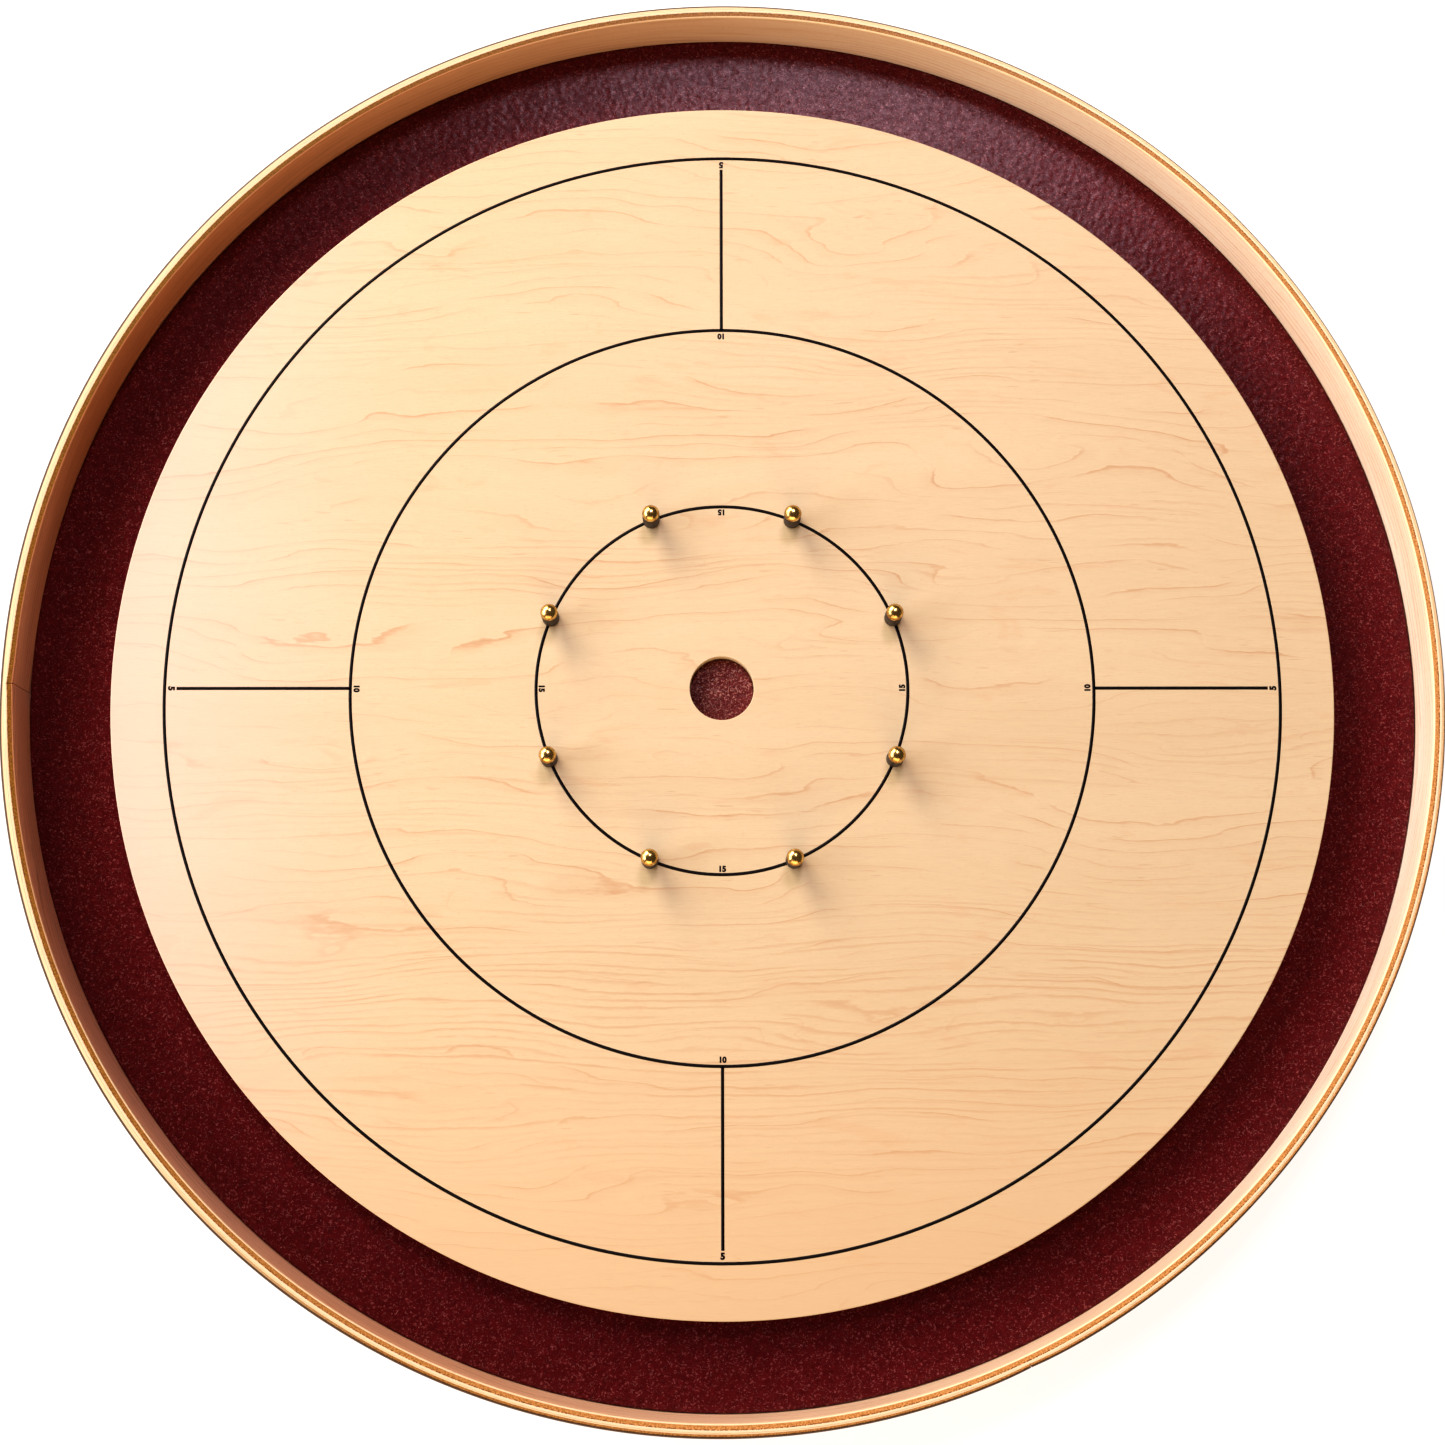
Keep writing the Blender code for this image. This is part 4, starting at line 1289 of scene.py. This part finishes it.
def threaded_screw(name, head_profile, neck, tip, drive_depth):
    """A wood screw on Z with its head below: a coiled thread on the shank and a square drive recess.

    The thread starts at the height of the neck and dies away towards the tip.
    """
    piece = turned(name, head_profile, 40)
    low = min(height for _, height in head_profile)
    corners = [(x * DRIVE_HALF, y * DRIVE_HALF) for x, y in ((-1, -1), (1, -1), (1, 1), (-1, 1))]
    points = [(x, y, low - 0.0004) for x, y in corners]
    points += [(x * 0.85, y * 0.85, low + drive_depth) for x, y in corners]
    faces = [(3, 2, 1, 0), (4, 5, 6, 7)] + [(i, (i + 1) % 4, (i + 1) % 4 + 4, i + 4) for i in range(4)]
    drill(piece, [put_in_scene("drive", mesh_of("drive", points, faces))])
    threaded = tip - BARE_POINT - neck
    turns = threaded / THREAD_PITCH
    steps = int(turns * THREAD_STEPS)
    points, faces = [], []
    for step in range(steps + 1):
        share = step / steps
        angle = math.tau * turns * share
        height = neck + threaded * share
        ends = min(1.0, share * 12, (1 - share) * 5)
        taper = 1.0 - 0.55 * max(0.0, (height - tip) / POINT_LENGTH + 1.0)
        root = THREAD_ROOT * 0.93 * taper
        crest = (THREAD_ROOT + (THREAD_CREST - THREAD_ROOT) * ends) * taper
        for radius, rise in ((root, -0.00035), (crest, -0.00005), (crest, 0.00005), (root, 0.00035)):
            points.append((radius * math.cos(angle), radius * math.sin(angle), height + rise))
        if step:
            last, this = (step - 1) * 4, step * 4
            faces += [(last + k, this + k, this + (k + 1) % 4, last + (k + 1) % 4) for k in range(4)]
    faces += [(0, 1, 2, 3), tuple(steps * 4 + k for k in (3, 2, 1, 0))]
    bare, first = piece.data, len(piece.data.vertices)
    points = [tuple(vertex.co) for vertex in bare.vertices] + points
    faces = [tuple(face.vertices) for face in bare.polygons] + [tuple(first + i for i in f) for f in faces]
    piece.data = mesh_of(name, points, faces)
    bpy.data.meshes.remove(bare)
    return piece


def make_zinc():
    """Zinc-plated steel: pale grey with a faint straw cast, spangled, brushed by the driver."""
    made, tree, shader, where = finish("zinc_plate", 0.3, 1.0)
    wear = use_group(tree, handling_wear, {"Place": where, "Size": 6.0})
    spangle = noise(tree, where, (0.0009, 0.0009, 0.0009), 2.0, 0.6, 0.3, 65.0)
    colour = blend_colours(tree, spangle, (0.52, 0.51, 0.47), (0.78, 0.77, 0.74))
    colour = stained(tree, colour, wear.outputs["Patches"], 0.3, (0.66, 0.60, 0.45))
    rough = maths(tree, "MULTIPLY_ADD", spangle, 0.3, 0.16)
    feed(tree, shader, colour, rough, minus(tree, spangle, wear.outputs["Scratches"]), 0.00003, 0.6)
    return made


def make_foot_rubber():
    """Moulded black rubber: matt, finely pebbled, scuffed grey where it stands on the table."""
    made, tree, shader, where = finish("foot_moulded_rubber", 0.7)
    pebble = noise(tree, where, (0.0007, 0.0007, 0.0007), 2.0, 0.6, 0.0, 75.0)
    dust = noise(tree, where, (0.006, 0.006, 0.004), 3.0, 0.6, 0.0, 85.0)
    z = add(tree, "ShaderNodeSeparateXYZ", {0: where}).outputs[2]
    sole = ramp(tree, z, 0.0001, 0.0008, 1.0, 0.0)
    colour = blend_colours(tree, pebble, (0.013, 0.013, 0.013), (0.032, 0.031, 0.030))
    worn = times(tree, ramp(tree, dust, 0.40, 0.70), maths(tree, "MULTIPLY_ADD", sole, 0.5, 0.12))
    colour = blend_colours(tree, worn, colour, (0.16, 0.15, 0.14))
    rough = maths(tree, "MULTIPLY_ADD", pebble, 0.25, 0.55)
    feed(tree, shader, colour, rough, pebble, 0.00012, 0.8)
    return made


zinc = make_zinc()
screw_face = base_low[2] + 0.0003
tip = DECK_SCREW_LENGTH
deck_screws = threaded_screw(
    "deck_screws",
    [
        (0.0, tip),
        (0.0006, tip - 0.0016),
        (THREAD_ROOT, tip - 0.0042),
        (THREAD_ROOT, SCREW_HEAD_HEIGHT + 0.0040),
        (THREAD_CREST - 0.0001, SCREW_HEAD_HEIGHT + 0.0036),
        (THREAD_CREST - 0.0001, SCREW_HEAD_HEIGHT + 0.0004),
        (SCREW_HEAD_RADIUS - 0.0001, 0.0005),
        (SCREW_HEAD_RADIUS, 0.0003),
        (SCREW_HEAD_RADIUS - 0.00015, 0.0),
        (0.0, 0.0),
    ],
    SCREW_HEAD_HEIGHT + 0.0045,
    tip,
    0.0016,
)
set_round(deck_screws, SCREW_COUNT, SCREW_CIRCLE, 0.0, screw_face, zinc)
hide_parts(*[f"deck_screw_{i}" for i in range(1, SCREW_COUNT + 1)])
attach(deck_screws, "board")

foot_profile = [
    (FOOT_HOLE_RADIUS, FOOT_HEIGHT),
    (FOOT_RADIUS - 0.0004, FOOT_HEIGHT),
    (FOOT_RADIUS - 0.0001, FOOT_HEIGHT - 0.0001),
    (FOOT_RADIUS, FOOT_HEIGHT - 0.0004),
    (FOOT_RADIUS, FOOT_HEIGHT - 0.0014),
    (FOOT_RADIUS - 0.00035, FOOT_HEIGHT - 0.0017),
    (FOOT_RADIUS - 0.0005, FOOT_HEIGHT - 0.0021),
    (FOOT_RADIUS - FOOT_TAPER + 0.0002, 0.0010),
    (FOOT_RADIUS - FOOT_TAPER, 0.0006),
    (FOOT_RADIUS - FOOT_TAPER - 0.0002, 0.0002),
    (FOOT_RADIUS - FOOT_TAPER - 0.0006, 0.0),
    (FOOT_RECESS_RADIUS + 0.0014, 0.0),
    (FOOT_RECESS_RADIUS + 0.0012, 0.0002),
    (FOOT_RECESS_RADIUS + 0.0009, 0.0002),
    (FOOT_RECESS_RADIUS + 0.0007, 0.0),
    (FOOT_RECESS_RADIUS + 0.0003, 0.0),
    (FOOT_RECESS_RADIUS, 0.0003),
    (FOOT_RECESS_RADIUS, FOOT_RECESS_DEPTH - 0.0003),
    (FOOT_RECESS_RADIUS - 0.0003, FOOT_RECESS_DEPTH),
    (FOOT_HOLE_RADIUS, FOOT_RECESS_DEPTH),
]
feet = turned("rubber_feet", foot_profile, 72)
set_round(feet, FOOT_COUNT, FOOT_CIRCLE, FOOT_FIRST_ANGLE, 0.0, make_foot_rubber())
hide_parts(*[f"foot_{i}" for i in range(1, FOOT_COUNT + 1)])
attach(feet, "board")

seat = FOOT_RECESS_DEPTH - 0.0003
head_face = seat - PAN_HEAD_HEIGHT
foot_screws = threaded_screw(
    "foot_screws",
    [
        (0.0, head_face + FOOT_SCREW_LENGTH),
        (0.0006, head_face + FOOT_SCREW_LENGTH - 0.0012),
        (THREAD_ROOT, head_face + FOOT_SCREW_LENGTH - 0.0032),
        (THREAD_ROOT, seat + 0.0002),
        (THREAD_ROOT + 0.0002, seat),
        (PAN_HEAD_RADIUS - 0.0001, seat),
        (PAN_HEAD_RADIUS, seat - 0.0002),
        (PAN_HEAD_RADIUS - 0.00005, seat - 0.0009),
        (PAN_HEAD_RADIUS - 0.0003, seat - 0.0014),
        (PAN_HEAD_RADIUS - 0.0008, seat - 0.0018),
        (PAN_HEAD_RADIUS - 0.0016, seat - 0.00196),
        (0.0, head_face),
    ],
    seat + 0.0006,
    head_face + FOOT_SCREW_LENGTH,
    0.0013,
)
set_round(foot_screws, FOOT_COUNT, FOOT_CIRCLE, FOOT_FIRST_ANGLE, 0.0, zinc)
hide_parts(*[f"foot_screw_{i}" for i in range(1, FOOT_COUNT + 1)])
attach(foot_screws, "board")

# ---------------------------------------------------------------------------------------------
# Studio. A plain pale floor and backdrop, and four soft lights: a wide window on the left, a warmer
# one in the far left corner, a warm fill at the front, and one high behind. The air adds a little
# light from all round, and the camera looks down as a standing player does.

floor_corners = [(-4, -4, 0), (4, -4, 0), (4, 4, 0), (-4, 4, 0)]
floor_mesh = mesh_of("studio_floor", floor_corners, [(0, 1, 2, 3)])
studio_floor = put_in_scene("studio_floor", floor_mesh)
floor_finish, _, floor_shader, _ = finish("pale_floor", 0.9)
floor_shader.inputs["Base Color"].default_value = (0.42, 0.42, 0.42, 1.0)
floor_shader.inputs["Emission Color"].default_value = (1.0, 1.0, 1.0, 1.0)
floor_shader.inputs["Emission Strength"].default_value = 0.56
floor_mesh.materials.append(floor_finish)


def soft_light(name, place, aim, size, power, colour):
    """A rectangular soft light at a place, turned to shine at a point."""
    light = bpy.data.lights.new(name, "AREA")
    light.shape = "RECTANGLE"
    light.size, light.size_y = size
    light.energy = power
    light.color = colour
    lamp = put_in_scene(name, light)
    lamp.location = place
    lamp.rotation_euler = (Vector(aim) - Vector(place)).to_track_quat("-Z", "Y").to_euler()


board_middle = (0.0, 0.0, 0.03)
soft_light("window_left", (-2.50, 0.30, 1.32), board_middle, (3.2, 1.3), 55.0, (0.97, 0.96, 1.03))
soft_light("window_corner", (-1.45, 2.00, 1.48), board_middle, (1.4, 1.3), 50.0, (1.0, 0.88, 0.75))
soft_light("front_fill", (-0.40, -2.70, 1.12), board_middle, (3.4, 1.6), 43.0, (1.0, 0.72, 0.46))
soft_light("soft_back", (0.30, 1.72, 3.3), (0.05, 0.15, 0.03), (0.80, 0.9), 32.0, (1.0, 0.86, 1.0))

world = bpy.data.worlds.new("studio_air")
world.use_nodes = True
air = world.node_tree
air.nodes["Background"].inputs["Color"].default_value = (1.0, 0.82, 0.66, 1.0)
air.nodes["Background"].inputs["Strength"].default_value = 0.09
backdrop = add(air, "ShaderNodeBackground", {"Color": (0.60, 0.60, 0.60, 1.0)}).outputs[0]
seen = add(air, "ShaderNodeLightPath").outputs["Is Camera Ray"]
glow = air.nodes["Background"].outputs[0]
either = add(air, "ShaderNodeMixShader", {0: seen, 1: glow, 2: backdrop}).outputs[0]
air.links.new(either, air.nodes["World Output"].inputs["Surface"])
scene = bpy.context.scene
scene.world = world
scene.view_settings.view_transform = "Standard"
scene.view_settings.look = "High Contrast"

camera_data = bpy.data.cameras.new("camera")
camera_data.sensor_width = 36.0
camera_data.lens = 63.73
camera_data.shift_x = 0.0156
camera_data.shift_y = -0.0934
camera = put_in_scene("camera", camera_data)
camera.location = (-0.0083, -0.2137, 1.4178)
camera.rotation_euler = (math.radians(11.039), math.radians(0.152), 0.0)
scene.camera = camera
